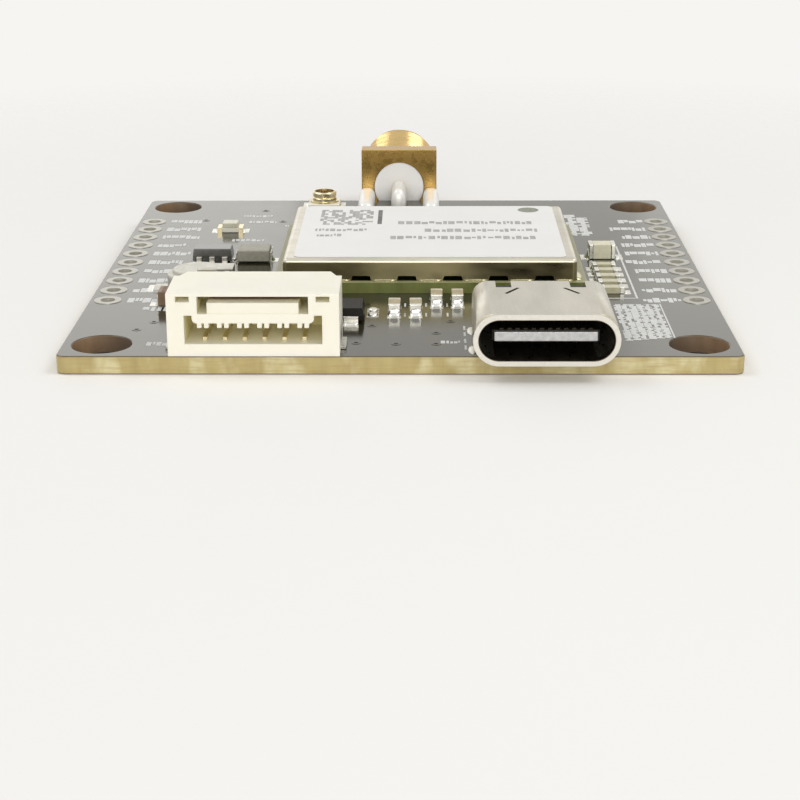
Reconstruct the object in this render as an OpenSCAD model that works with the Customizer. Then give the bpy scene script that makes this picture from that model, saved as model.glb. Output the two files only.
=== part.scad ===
// Satellite positioning module: a square circuit board that carries a shielded receiver,
// a six-way wire socket and a USB socket on its front edge, a threaded antenna socket on its
// rear edge, two rows of plated header holes and the small parts of the power supply.
// Frame: X to the right, Y from the front edge to the rear edge, Z up.
// The origin is the centre of the four mounting holes, on the underside of the board.

/* [Board] */
// Width of the circuit board, left to right
board_w = 43.2; // [42.6:0.1:48]
// Depth of the circuit board, front to rear
board_d = 43.2; // [42.6:0.1:48]
// Rounding of the board's corners
board_corner = 0.6; // [0.3:0.1:1]
// Thickness of the circuit board
board_t = 1.2; // [1.1:0.1:1.6]
// Distance from the board's edges to the middle of each mounting hole
hole_inset = 2.55; // [2.4:0.05:2.8]
// Diameter of a mounting hole
hole_d = 3.8; // [3:0.1:4]

/* [Header rows] */
// Number of plated holes in each row
pin_count = 10; // [2:1:10]
// Distance between neighbouring plated holes
pin_pitch = 2.54; // [2:0.01:2.6]
// Bore of a plated hole
header_bore_d = 1.02; // [0.8:0.02:1.1]
// Wall of the plated barrel
plating_t = 0.08; // [0.05:0.01:0.12]
// Diameter of the ring around a plated hole
ring_d = 1.88; // [1.6:0.02:2]
// Height of the ring above the board face
ring_t = 0.04; // [0.03:0.01:0.1]
// Distance from the board's side edge to the row of holes
header_inset = 1.27; // [1.1:0.01:1.5]
// Shift of the middle of each row behind the board's middle
header_shift = 2.4; // [1.5:0.1:3]
// Play between a plated barrel and its drilled hole
plating_play = 0.02; // [0.01:0.01:0.05]

/* [Wire socket] */
// Sideways place of the wire socket's middle
data_x = -9.1; // [-9.5:0.05:-8.7]
// Width of the wire socket's housing
data_w = 10.75; // [10.4:0.05:11.2]
// Depth of the wire socket's housing
data_d = 5.3; // [5:0.1:5.8]
// Height of the wire socket's housing
data_h = 4.05; // [3.9:0.05:4.6]
// Number of contacts
data_count = 6; // [2:1:6]
// Distance between neighbouring contacts
data_pitch = 1.25; // [1.1:0.05:1.3]
// Thickness of the floor below the plug's mouth
data_floor = 0.8; // [0.7:0.05:0.9]
// Width of the plug's mouth
mouth_w = 8.6; // [8.4:0.1:9]
// Depth of the plug's mouth
mouth_d = 4.2; // [3.8:0.1:4.4]
// Height of the plug's mouth at its two sides
mouth_h = 1.85; // [1.75:0.05:1.9]
// Width of the bridge between the mouth and the latch window
bridge_w = 7.6; // [7.5:0.05:7.8]
// How far the bridge hangs into the mouth
bridge_drop = 0.5; // [0.4:0.05:0.6]
// Rounding of the bridge's lower corners
bridge_r = 0.3; // [0.2:0.05:0.4]
// Width of a guide tooth under the bridge
tooth_w = 0.28; // [0.2:0.02:0.32]
// Height of a guide tooth under the bridge
tooth_h = 0.3; // [0.2:0.02:0.36]
// Distance between the two teeth of a pair
tooth_gap = 0.16; // [0.12:0.02:0.24]
// Width of the latch window
window_w = 6.9; // [6.6:0.1:7]
// Height of the latch window
window_h = 1.12; // [1:0.02:1.14]
// Depth of the latch window
window_d = 3.4; // [3:0.1:3.8]
// Thickness of the roof above the latch window
roof_t = 0.18; // [0.14:0.02:0.2]
// Width of the latch catch inside the window
catch_w = 5.7; // [5.2:0.1:6.2]
// Height of the latch catch
catch_h = 0.7; // [0.5:0.05:0.8]
// Distance from the front face back to the latch catch
catch_set = 0.08; // [0.04:0.02:0.3]
// Width of the small slot near each top corner
corner_slot_w = 0.85; // [0.6:0.05:1]
// Height of the small slot near each top corner
corner_slot_h = 0.36; // [0.3:0.02:0.4]
// Depth of the small slot near each top corner
corner_slot_d = 1.2; // [0.8:0.1:1.6]
// Distance from the middle to a corner slot's middle
corner_slot_x = 4.35; // [4.2:0.05:4.5]
// Flat part of the step in each rear corner
step_flat = 0.35; // [0.2:0.05:0.5]
// Whole width of the step in each rear corner
step_w = 0.75; // [0.6:0.05:0.9]
// Depth of the step in each rear corner
step_d = 1.0; // [0.8:0.05:1.2]
// Width of a contact
contact_w = 0.26; // [0.2:0.02:0.36]
// Thickness of a contact
contact_t = 0.2; // [0.12:0.02:0.24]
// Distance from the front face back to a contact's tip
contact_set = 0.9; // [0.6:0.1:1.4]
// Length of a contact's solder foot behind the housing
contact_foot = 0.9; // [0.6:0.1:1.2]
// Play around a contact in the housing's rear wall
contact_play = 0.03; // [0.02:0.01:0.06]
// Length of a side anchor
anchor_len = 2; // [1.8:0.1:2.8]
// Height of a side anchor
anchor_h = 1.5; // [1.1:0.1:1.8]
// Sheet thickness of a side anchor
anchor_t = 0.25; // [0.2:0.05:0.35]
// Reach of a side anchor's foot on the board
anchor_foot = 0.6; // [0.6:0.05:1]
// Distance from the front face back to a side anchor
anchor_set = 1.4; // [0.6:0.1:1.4]

/* [USB socket] */
// Sideways place of the USB socket's middle
usb_x = 9.05; // [8.8:0.05:9.3]
// Width of the USB shell
usb_w = 8.94; // [8.8:0.02:9.1]
// Height of the USB shell
usb_h = 3.16; // [3.1:0.02:3.3]
// Length of the USB shell
usb_len = 8; // [7.4:0.1:8.4]
// How far the shell stands out past the board's front edge
usb_overhang = 1.8; // [1:0.1:2]
// Sheet thickness of the USB shell
usb_wall = 0.28; // [0.25:0.01:0.34]
// Flare of the shell's front lip
lip_flare = 0.06; // [0.04:0.02:0.14]
// Length of the shell's front lip
lip_len = 0.4; // [0.2:0.05:0.6]
// How far each side of the shell stands in behind its lip
side_in = 0.08; // [0.04:0.02:0.1]
// Rounding of the shell's upper corners behind its lip
shell_corner = 1; // [0.7:0.05:1.1]
// Rounding of the shell's lower corners behind its lip
shell_low = 1.3; // [1.1:0.05:1.35]
// Sheet thickness of a shell tab
tab_t = 0.24; // [0.2:0.01:0.24]
// Length of a shell tab
tab_len = 1.1; // [0.8:0.1:1.4]
// How far a shell tab goes down into the board
tab_drop = 0.9; // [0.6:0.1:1]
// Distance from the board's front edge to the front tabs' middle
tab_front = 1.3; // [1.1:0.1:1.6]
// Distance between the front and the rear tabs' middles
tab_pitch = 4.1; // [3.8:0.1:4.2]
// Play around a tab in its board slot
tab_play = 0.15; // [0.1:0.05:0.2]
// Width of each notch in the shell's rear edge
notch_w = 1.0; // [0.8:0.1:1.2]
// Depth of each notch in the shell's rear edge
notch_d = 1.5; // [1.2:0.1:1.8]
// Distance from the middle to a notch's middle
notch_x = 2.4; // [2.2:0.1:2.6]
// Width of each slanting slit behind the shell's middle
slit_w = 0.22; // [0.12:0.02:0.22]
// Length of each slanting slit
slit_len = 1.6; // [1.3:0.1:1.7]
// Angle of each slanting slit
slit_angle = 33; // [28:1:38]
// Distance from the shell's rear edge to a slit's middle
slit_set = 2.3; // [2.2:0.1:2.8]
// Distance from the middle to a slit's middle
slit_x = 1.9; // [1.7:0.05:2]
// Width of the contact tongue
tongue_w = 6.69; // [6.5:0.01:6.8]
// Thickness of the contact tongue
tongue_t = 0.7; // [0.6:0.02:0.76]
// Distance from the shell's front back to the tongue's tip
tongue_set = 0.9; // [0.6:0.1:1.2]
// Length of the insulator's base in the rear of the shell
usb_base_len = 2.2; // [1.8:0.1:2.6]
// Length of the metal nose on the tongue's tip
nose_len = 0.35; // [0.25:0.05:0.5]
// Width of the metal nose on the tongue's tip
nose_w = 6.4; // [6:0.1:6.5]
// Height of the metal nose on the tongue's tip
nose_h = 0.62; // [0.5:0.02:0.68]
// Thickness of the mid plate inside the tongue
web_t = 0.14; // [0.1:0.02:0.2]
// Width of the mid plate inside the tongue
web_w = 5.6; // [5:0.1:5.9]
// Play around pieces that sit inside the USB shell
usb_play = 0.02; // [0.01:0.01:0.04]
// Number of contacts on each face of the tongue
usb_count = 12; // [6:2:12]
// Distance between neighbouring USB contacts
usb_pitch = 0.5; // [0.45:0.01:0.52]
// Width of a USB contact
usb_contact_w = 0.25; // [0.2:0.01:0.3]
// Thickness of a USB contact
usb_contact_t = 0.1; // [0.08:0.01:0.14]
// Reach of the lower contacts behind the shell
usb_tail_near = 0.25; // [0.2:0.05:0.3]
// Reach of the upper contacts behind the shell
usb_tail_far = 0.7; // [0.6:0.05:0.9]
// Length of a USB contact's solder foot
usb_foot = 0.3; // [0.2:0.05:0.3]

/* [Antenna socket] */
// Sideways place of the antenna socket's axis
ant_x = -0.55; // [-1:0.05:0]
// Height of the antenna socket's axis above the board's top face
ant_rise = 1.15; // [1.1:0.05:1.4]
// Width and height of the square flange
flange_w = 6.35; // [6.2:0.05:6.6]
// Thickness of the flange
flange_t = 1.7; // [1.4:0.1:2.2]
// Outer diameter of the threaded barrel
barrel_d = 6.35; // [6.2:0.05:6.4]
// Length of the barrel behind the flange
barrel_len = 8.0; // [7:0.1:10]
// Diameter of the relief between the flange and the thread
relief_d = 5.5; // [5.3:0.1:5.7]
// Length of the relief between the flange and the thread
relief_len = 0.7; // [0.5:0.1:1]
// Chamfer at both ends of the thread
barrel_chamfer = 0.35; // [0.2:0.05:0.4]
// Diameter of the mouth at the barrel's outer end
ant_mouth_d = 4.6; // [4.5:0.05:4.8]
// Depth of the mouth at the barrel's outer end
ant_mouth_depth = 1.9; // [1.6:0.1:2.2]
// Diameter of the white insulator
insulator_d = 4.15; // [3.9:0.05:4.25]
// Play around pieces that sit inside the barrel
ant_play = 0.02; // [0.01:0.01:0.04]
// Diameter of the centre pin's tail
ant_pin_d = 1.0; // [0.8:0.05:1.1]
// Length of the centre pin's tail over the board
ant_pin_len = 3.2; // [2.6:0.1:3.8]
// Diameter of the centre contact in the mouth
ant_contact_d = 1.27; // [1.2:0.01:1.35]
// Length of the wide part of the centre contact
ant_contact_len = 3.0; // [2.6:0.1:3.4]
// Bore of the centre contact
ant_contact_bore = 0.93; // [0.9:0.01:0.96]
// Depth of the centre contact's bore
ant_contact_depth = 2.4; // [2:0.1:2.5]
// Width of the slit across the centre contact
ant_slit = 0.18; // [0.12:0.02:0.22]
// Width of a leg that grips the board
leg_w = 0.95; // [0.8:0.05:1.1]
// Length of a leg that grips the board
leg_len = 4.75; // [4.2:0.05:5.2]
// Height of an upper leg
leg_h = 0.85; // [0.7:0.05:1]
// Play between the lower legs and the board's underside
leg_play = 0.05; // [0.02:0.01:0.1]
// Half the width of the solder under the centre pin at the board
solder_foot = 1.05; // [0.8:0.05:1.2]
// Half the width of the solder at the centre pin's height
solder_neck = 0.72; // [0.66:0.02:0.8]
// Length of the solder under the centre pin
solder_len = 2.6; // [2:0.1:2.6]
// Distance from the board's rear edge to the solder
solder_set = 0.4; // [0.3:0.1:0.6]
// Width of the solder fillet beside an upper leg
fillet_w = 0.6; // [0.4:0.05:0.7]
// Length of the solder fillet beside an upper leg
fillet_len = 3.8; // [3:0.1:4]

/* [Micro coax socket] */
// Sideways place of the micro coax socket's middle
coax_x = -6.8; // [-7.5:0.1:-6.5]
// Distance from the board's rear edge to the socket's middle
coax_set = 1.9; // [1.7:0.1:2.4]
// Width and depth of the socket's base
coax_base_w = 2.6; // [2.4:0.1:2.8]
// Thickness of the socket's base
coax_base_t = 0.35; // [0.3:0.05:0.4]
// Outer diameter of the socket's ring
coax_d = 2.0; // [1.9:0.05:2.1]
// Wall of the socket's ring
coax_wall = 0.2; // [0.15:0.01:0.25]
// Height of the socket's ring above the board
coax_h = 1.25; // [1.1:0.05:1.4]
// Depth of the snap groove around the ring
coax_groove = 0.08; // [0.05:0.01:0.1]
// Diameter of the ring's foot on the base
coax_foot_d = 2.36; // [2.3:0.02:2.38]
// Thickness of the ring's foot on the base
coax_foot_t = 0.12; // [0.08:0.02:0.16]
// Diameter of the socket's centre pin
coax_pin_d = 0.5; // [0.4:0.02:0.6]
// Height of the centre pin above the board
coax_pin_h = 1.0; // [0.9:0.05:1.05]

/* [Receiver] */
// Sideways place of the receiver's middle
rx_x = 1.95; // [1.6:0.05:2.3]
// Distance from the board's front edge to the receiver's front edge
rx_front = 14.3; // [14:0.1:15]
// Width of the receiver's own board
rx_w = 22; // [21.6:0.1:23]
// Depth of the receiver's own board
rx_d = 17; // [16.8:0.1:18]
// Thickness of the receiver's own board
rx_t = 0.8; // [0.6:0.05:1]
// Distance from the receiver board's edge to the shield
shield_inset = 0.4; // [0.3:0.05:0.6]
// Extra distance from the receiver board's left and right edges to the shield
shield_side = 0.3; // [0.2:0.05:0.4]
// Height of the shield
shield_h = 1.6; // [1.5:0.05:2]
// Sheet thickness of the shield
shield_wall = 0.2; // [0.15:0.01:0.24]
// Rounding of the shield's edges
shield_r = 0.32; // [0.26:0.02:0.5]
// Number of slots along the front and along the rear of the shield
slots_x = 6; // [2:1:6]
// Number of slots along each side of the shield
slots_y = 4; // [2:1:4]
// Distance between neighbouring slots
slot_pitch = 3.21; // [3:0.01:3.3]
// Width of a slot at its top
slot_w = 1.2; // [1:0.05:1.3]
// Extra width of a slot at its foot, on each side
slot_flare = 0.12; // [0.05:0.01:0.2]
// Height of a slot
slot_h = 0.36; // [0.3:0.02:0.5]
// Distance from the shield's side to the label, left and right
label_side = 0.75; // [0.6:0.05:1.2]
// Distance from the shield's front and rear to the label
label_end = 0.4; // [0.35:0.05:0.8]
// Thickness of the label
label_t = 0.06; // [0.05:0.01:0.1]
// Rounding of the label's corners
label_r = 0.5; // [0.3:0.05:0.8]

/* [Receiver inside] */
// Width and depth of the positioning chip
chip_w = 7.6; // [7:0.1:8]
// Height of the positioning chip
chip_h = 0.85; // [0.7:0.05:1]
// Place of the positioning chip right of the receiver's middle, as a share of its width
chip_share = 0.145; // [0.13:0.005:0.16]
// Width of the oscillator
osc_w = 2.5; // [2.2:0.1:2.8]
// Depth of the oscillator
osc_d = 2.0; // [1.8:0.1:2.2]
// Height of the oscillator
osc_h = 0.8; // [0.6:0.05:0.95]
// Width of a radio filter
filter_w = 1.4; // [1.2:0.1:1.6]
// Depth of a radio filter
filter_d = 1.1; // [1:0.1:1.3]
// Height of a radio filter
filter_h = 0.6; // [0.4:0.05:0.9]
// Distance between the two radio filters
filter_pitch = 2.4; // [2.2:0.1:2.8]
// Width and depth of the radio amplifier
amp_w = 1.5; // [1.2:0.1:1.8]
// Height of the radio amplifier
amp_h = 0.55; // [0.4:0.05:0.9]
// Width of the memory chip
mem_w = 3.0; // [2.6:0.1:3.2]
// Depth of the memory chip
mem_d = 2.0; // [1.8:0.1:2.4]
// Height of the memory chip
mem_h = 0.6; // [0.4:0.05:0.9]
// Place of the small inner parts left of the receiver's middle, as a share of its width
inner_share = 0.218; // [0.2:0.002:0.24]
// Distance between the rows of small inner parts
inner_row = 3.4; // [3.2:0.1:3.8]

/* [Diode] */
// Sideways place of the diode's middle
diode_x = -3.3; // [-3.6:0.05:-3]
// Distance from the board's front edge to the diode's middle
diode_front = 8.5; // [8.4:0.1:9]
// Width of the diode's body
diode_w = 1.7; // [1.5:0.05:1.8]
// Length of the diode's body
diode_len = 2.7; // [2.4:0.1:2.8]
// Height of the diode
diode_h = 1.0; // [0.9:0.05:1.2]
// Width of a diode lead
diode_lead_w = 1.0; // [0.7:0.05:1.1]
// Thickness of a diode lead
diode_lead_t = 0.15; // [0.1:0.01:0.2]
// Reach of a diode lead past the body
diode_reach = 0.5; // [0.4:0.05:0.6]
// Taper of the diode's moulded sides
diode_taper = 0.1; // [0.05:0.01:0.14]

/* [Chip parts] */
// Number of chip capacitors in front of the receiver
cap_count = 4; // [1:1:4]
// Sideways place of the first chip capacitor
cap_x = -0.46; // [-0.6:0.02:-0.2]
// Distance between neighbouring chip capacitors
cap_pitch = 1.43; // [1.3:0.01:1.5]
// Distance from the board's front edge to the first capacitors' middles
cap_front = 9.7; // [9.4:0.1:9.8]
// Extra distance from the front edge to the last capacitors' middles
cap_stagger = 2.3; // [2:0.1:2.5]
// Length of a chip capacitor
cap_len = 1.7; // [1.5:0.05:1.8]
// Width of a chip capacitor
cap_w = 0.84; // [0.7:0.02:0.9]
// Height of a chip capacitor
cap_h = 0.8; // [0.6:0.05:0.9]
// Number of chip resistors beside the receiver
res_count = 5; // [1:1:5]
// Distance from the receiver's right edge to the chip resistors
res_gap = 0.9; // [0.6:0.1:1.2]
// Distance from the board's front edge to the first chip resistor's middle
res_front = 14.6; // [14.2:0.1:15]
// Distance between neighbouring chip resistors
res_pitch = 1.55; // [1.4:0.05:1.7]
// Length of a chip resistor
res_len = 1.7; // [1.5:0.05:1.8]
// Width of a chip resistor
res_w = 0.84; // [0.7:0.02:0.9]
// Height of a chip resistor
res_h = 0.48; // [0.4:0.02:0.6]
// Distance from the last chip resistor's middle to the bulk capacitor's middle
bulk_gap = 3.4; // [2.8:0.1:3.8]
// Length of the bulk capacitor
bulk_len = 2.0; // [1.8:0.1:2.2]
// Width of the bulk capacitor
bulk_w = 1.3; // [1.1:0.05:1.5]
// Height of the bulk capacitor
bulk_h = 1.15; // [0.9:0.05:1.3]
// Length of an end cap on a chip part
end_len = 0.34; // [0.25:0.01:0.4]
// How far an end cap stands proud of the chip's body
end_proud = 0.025; // [0.01:0.005:0.04]

/* [Power supply] */
// Distance from the receiver's left edge to the inductor
ind_gap = 0.75; // [0.5:0.05:1]
// Distance from the board's front edge to the inductor's middle
ind_front = 23.4; // [23:0.1:24]
// Length of the inductor
ind_len = 2.4; // [2:0.1:2.6]
// Depth of the inductor
ind_d = 2.0; // [1.8:0.1:2.4]
// Width of an inductor terminal
ind_term_w = 1.0; // [0.8:0.1:1.4]
// Height of the inductor
ind_h = 1.0; // [0.8:0.05:1.2]
// Distance between the inductor and the regulator
reg_gap = 0.3; // [0.2:0.05:0.5]
// Width of the regulator's body
reg_w = 2.9; // [2.7:0.1:3.1]
// Depth of the regulator's body
reg_d = 1.65; // [1.5:0.05:1.8]
// Height of the regulator
reg_h = 1.05; // [0.95:0.05:1.2]
// Distance between neighbouring regulator leads
reg_pitch = 0.95; // [0.85:0.05:1]
// Width of a regulator lead
reg_lead_w = 0.4; // [0.3:0.02:0.5]
// Thickness of a regulator lead
reg_lead_t = 0.14; // [0.1:0.01:0.18]
// Reach of a regulator lead past the body
reg_reach = 0.6; // [0.5:0.05:0.7]
// Distance from the regulator's body to the bend in a lead
reg_knee = 0.2; // [0.1:0.05:0.25]
// Taper of the regulator's moulded sides
reg_taper = 0.08; // [0.04:0.01:0.12]
// Distance from the receiver's left edge to the backup cell
cell_gap = 3.1; // [2.6:0.1:3.4]
// Distance from the board's front edge to the backup cell's middle
cell_front = 15.6; // [15.2:0.1:16]
// Diameter of the backup cell
cell_d = 4.4; // [4.2:0.1:4.8]
// Height of the backup cell
cell_h = 1.35; // [1.2:0.05:1.5]
// Diameter of the backup cell's raised top
cell_cap_d = 3.6; // [3.4:0.1:3.8]
// Height of the step below the raised top
cell_step = 0.3; // [0.2:0.05:0.4]
// Sheet thickness of the cell's tabs
cell_tab_t = 0.15; // [0.1:0.01:0.2]
// Width of the cell's tabs
cell_tab_w = 1.6; // [1.2:0.1:2]
// Reach of the lower tab past the cell's middle
cell_tab_lap = 1.0; // [0.5:0.1:1.5]
// Reach of the cell's tabs past the cell
cell_tab_reach = 0.95; // [0.7:0.05:1.1]
// Distance from the receiver's left edge to the tantalum capacitor
tant_gap = 4.35; // [4.2:0.05:4.6]
// Distance from the board's front edge to the tantalum capacitor's middle
tant_front = 11.6; // [11.4:0.1:12]
// Length of the tantalum capacitor
tant_len = 3.2; // [3:0.1:3.4]
// Width of the tantalum capacitor
tant_w = 1.6; // [1.4:0.05:1.8]
// Width of a tantalum capacitor terminal
tant_term_w = 0.8; // [0.6:0.05:1.2]
// Height of the tantalum capacitor
tant_h = 1.1; // [1:0.05:1.4]
// Sheet thickness of a wrapped terminal
wrap_t = 0.12; // [0.08:0.01:0.16]
// Reach of a wrapped terminal under its part
wrap_under = 0.6; // [0.4:0.05:0.8]
// Height of a wrapped terminal up the end of its part
wrap_up = 0.7; // [0.5:0.05:0.75]
// Distance from the receiver's left edge to the status light
light_gap = 3.75; // [3.4:0.05:4]
// Distance from the board's front edge to the status light's middle
light_front = 32.4; // [31.8:0.1:33]
// Length of the status light
light_len = 2.0; // [1.8:0.1:2.2]
// Width of the status light
light_w = 1.25; // [1.1:0.05:1.4]
// Height of the status light
light_h = 0.8; // [0.6:0.05:0.9]
// Height of the status light's base
light_base = 0.4; // [0.3:0.02:0.45]
// Length of the status light's lens
lens_len = 1.2; // [1:0.05:1.25]

/* [Hidden] */
// How far a cut runs past the face that it opens
cut = 0.2;
// Facets on round shapes
$fn = 64;

front_y = -board_d / 2;
rear_y = board_d / 2;
header_x = board_w / 2 - header_inset;
header_y = header_shift - (pin_count - 1) * pin_pitch / 2;
barrel_r = header_bore_d / 2 + plating_t;
tab_x = usb_w / 2 - side_in - tab_t / 2;
usb_front = front_y - usb_overhang;
usb_rear = usb_front + usb_len;
usb_mid = board_t + usb_h / 2;
ant_z = board_t + ant_rise;
ant_plane = flange_t + barrel_len - ant_mouth_depth;
rx_y = front_y + rx_front + rx_d / 2;
rx_left = rx_x - rx_w / 2;
rx_right = rx_x + rx_w / 2;
rx_top = board_t + rx_t;
inner_x = rx_x - inner_share * rx_w;
shield_w = rx_w - 2 * (shield_inset + shield_side);
shield_d = rx_d - 2 * shield_inset;
shield_top = rx_top + shield_h;
window_z = data_h - roof_t - window_h;
res_x = rx_right + res_gap + res_len / 2;
res_y = front_y + res_front;
bulk_x = rx_right + res_gap + bulk_len / 2;
bulk_y = res_y + (res_count - 1) * res_pitch + bulk_gap;
ind_x = rx_left - ind_gap - ind_len / 2 - wrap_t;
ind_y = front_y + ind_front;
reg_x = ind_x - ind_len / 2 - wrap_t - reg_gap - reg_w / 2;
cell_x = rx_left - cell_gap - cell_d / 2;
cell_y = front_y + cell_front;
tant_x = rx_left - tant_gap - tant_len / 2;
tant_y = front_y + tant_front;
light_x = rx_left - light_gap - light_len / 2;
light_y = front_y + light_front;

// Draws a flat shape, given in X and Z, as a bar along Y between two places
module bar_y(y0, y1) {
    translate([0, y1, 0])
        rotate([90, 0, 0])
            linear_extrude(height = y1 - y0)
                children();
}

// Draws a flat shape, given in Y and Z, as a strip of width w, centred on X
module strip_x(w) {
    translate([-w / 2, 0, 0])
        rotate([90, 0, 90])
            linear_extrude(height = w)
                children();
}

// A flat shape with round ends, centred
module stadium(w, h) {
    square([w - h, h], center = true);
    for (s = [-1, 1])
        translate([s * (w - h) / 2, 0])
            circle(d = h);
}

// A flat rectangle with rounded corners, centred
module round_rect(w, d, r) {
    square([w - 2 * r, d], center = true);
    square([w, d - 2 * r], center = true);
    for (sx = [-1, 1], sy = [-1, 1])
        translate([sx * (w / 2 - r), sy * (d / 2 - r)])
            circle(r = r);
}

// A block, centred on X and Y, standing on the plane below it
module block(w, d, h) {
    translate([-w / 2, -d / 2, 0])
        cube([w, d, h]);
}

// A can with rounded upright corners and rounded top edges
module can(w, d, h, r) {
    linear_extrude(height = h - r)
        round_rect(w, d, r);
    translate([0, 0, h - r]) {
        block(w - 2 * r, d - 2 * r, r);
        for (s = [-1, 1]) {
            translate([0, s * (d / 2 - r), 0])
                rotate([0, 90, 0])
                    cylinder(r = r, h = w - 2 * r, center = true);
            translate([s * (w / 2 - r), 0, 0])
                rotate([90, 0, 0])
                    cylinder(r = r, h = d - 2 * r, center = true);
        }
        for (sx = [-1, 1], sy = [-1, 1])
            translate([sx * (w / 2 - r), sy * (d / 2 - r), 0])
                sphere(r = r);
    }
}

// A moulded chip body: straight below the lead line, sides drawn in above it
module moulded_body(w, d, h, line, taper) {
    block(w, d, line);
    intersection() {
        bar_y(-d / 2, d / 2)
            polygon([[-w / 2, line], [w / 2, line], [w / 2 - taper, h], [taper - w / 2, h]]);
        strip_x(w)
            polygon([[-d / 2, line], [d / 2, line], [d / 2 - taper, h], [taper - d / 2, h]]);
    }
}

// A bent lead: out of a face at height z, down to the board and out again as a foot, along +Y
module bent_lead(z, knee, reach, t, w) {
    strip_x(w)
        polygon([
            [0, z], [knee, z], [knee, 0], [reach, 0],
            [reach, t], [knee + t, t], [knee + t, z + t], [0, z + t]
        ]);
}

// A terminal that wraps the end of a part: under it and up its end, along +Y from the end face
module wrap_terminal(w) {
    strip_x(w)
        polygon([
            [-wrap_under, 0], [wrap_t, 0], [wrap_t, wrap_up],
            [0, wrap_up], [0, wrap_t], [-wrap_under, wrap_t]
        ]);
}

// The ceramic middle of a chip part that lies along Y
module chip_middle(len, w, h) {
    translate([0, 0, end_proud])
        block(w - 2 * end_proud, len - 2 * end_len, h - 2 * end_proud);
}

// The two end caps of a chip part that lies along Y
module chip_ends(len, w, h) {
    for (s = [-1, 1])
        translate([0, s * (len - end_len) / 2, 0])
            block(w, end_len, h);
}

module mounting_places() {
    for (sx = [-1, 1], sy = [-1, 1])
        translate([sx * (board_w / 2 - hole_inset), sy * (board_d / 2 - hole_inset)])
            children();
}

module header_places(side) {
    for (i = [0 : pin_count - 1])
        translate([side * header_x, header_y + i * pin_pitch])
            children();
}

module tab_places() {
    for (sx = [-1, 1], i = [0, 1])
        translate([usb_x + sx * tab_x, front_y + tab_front + i * tab_pitch])
            children();
}

module circuit_board() {
    color("dimgray")
        linear_extrude(height = board_t)
            difference() {
                round_rect(board_w, board_d, board_corner);
                mounting_places()
                    circle(d = hole_d);
                for (side = [-1, 1])
                    header_places(side)
                        circle(r = barrel_r + plating_play);
                tab_places()
                    square([tab_t + 2 * tab_play, tab_len + 2 * tab_play], center = true);
            }
}

// A plated barrel with a ring on each face of the board
module eyelet() {
    bore_r = header_bore_d / 2;
    ring_r = ring_d / 2;
    rotate_extrude()
        polygon([
            [bore_r, -ring_t], [ring_r, -ring_t], [ring_r, 0], [barrel_r, 0],
            [barrel_r, board_t], [ring_r, board_t],
            [ring_r, board_t + ring_t], [bore_r, board_t + ring_t]
        ]);
}

module header_eyelets_left() {
    color("lightgray")
        header_places(-1)
            eyelet();
}

module header_eyelets_right() {
    color("lightgray")
        header_places(1)
            eyelet();
}

// Places each contact of the wire socket along its row
module data_places() {
    for (i = [0 : data_count - 1])
        translate([(i - (data_count - 1) / 2) * data_pitch, 0, 0])
            children();
}

// The plug's mouth seen from the front: a wide slot with the bridge and its teeth left standing
module mouth_shape() {
    top = data_floor + mouth_h;
    low = top - bridge_drop;
    difference() {
        translate([-mouth_w / 2, data_floor])
            square([mouth_w, mouth_h]);
        translate([-bridge_w / 2, low + bridge_r])
            square([bridge_w, bridge_drop]);
        translate([bridge_r - bridge_w / 2, low])
            square([bridge_w - 2 * bridge_r, bridge_drop + cut]);
        for (s = [-1, 1])
            translate([s * (bridge_w / 2 - bridge_r), low + bridge_r])
                circle(r = bridge_r);
        data_places()
            for (s = [-1, 1])
                translate([s * (tooth_gap + tooth_w) / 2 - tooth_w / 2, low - tooth_h])
                    square([tooth_w, tooth_h + bridge_drop]);
    }
}

module data_socket_housing() {
    hw = data_w / 2;
    corner_slot_z = data_h - roof_t - corner_slot_h;
    pocket_h = anchor_h + cut + contact_play;
    color("ivory")
        translate([data_x, front_y, board_t])
            difference() {
                linear_extrude(height = data_h)
                    polygon([
                        [-hw, 0], [hw, 0], [hw, data_d - step_d], [hw - step_flat, data_d - step_d],
                        [hw - step_w, data_d], [step_w - hw, data_d],
                        [step_flat - hw, data_d - step_d], [-hw, data_d - step_d]
                    ]);
                bar_y(-cut, mouth_d)
                    mouth_shape();
                difference() {
                    bar_y(-cut, window_d)
                        translate([-window_w / 2, window_z])
                            square([window_w, window_h]);
                    bar_y(catch_set, window_d + cut)
                        translate([-catch_w / 2, window_z - cut])
                            square([catch_w, catch_h + cut]);
                }
                for (s = [-1, 1])
                    bar_y(-cut, corner_slot_d)
                        translate([s * corner_slot_x - corner_slot_w / 2, corner_slot_z])
                            square([corner_slot_w, corner_slot_h]);
                data_places()
                    bar_y(mouth_d - cut, data_d + cut)
                        translate([-contact_w / 2 - contact_play, data_floor])
                            square([contact_w + 2 * contact_play, contact_t + contact_play]);
                for (s = [-1, 1])
                    translate([s * hw, anchor_set + anchor_len / 2, -cut])
                        block(2 * anchor_t, anchor_len + 2 * contact_play, pocket_h);
            }
}

module data_socket_contacts() {
    color("goldenrod")
        translate([data_x, front_y, board_t])
            data_places()
                strip_x(contact_w)
                    polygon([
                        [contact_set, data_floor], [data_d, data_floor], [data_d, 0],
                        [data_d + contact_foot, 0], [data_d + contact_foot, contact_t],
                        [data_d + contact_t, contact_t], [data_d + contact_t, data_floor + contact_t],
                        [contact_set, data_floor + contact_t]
                    ]);
}

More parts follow.
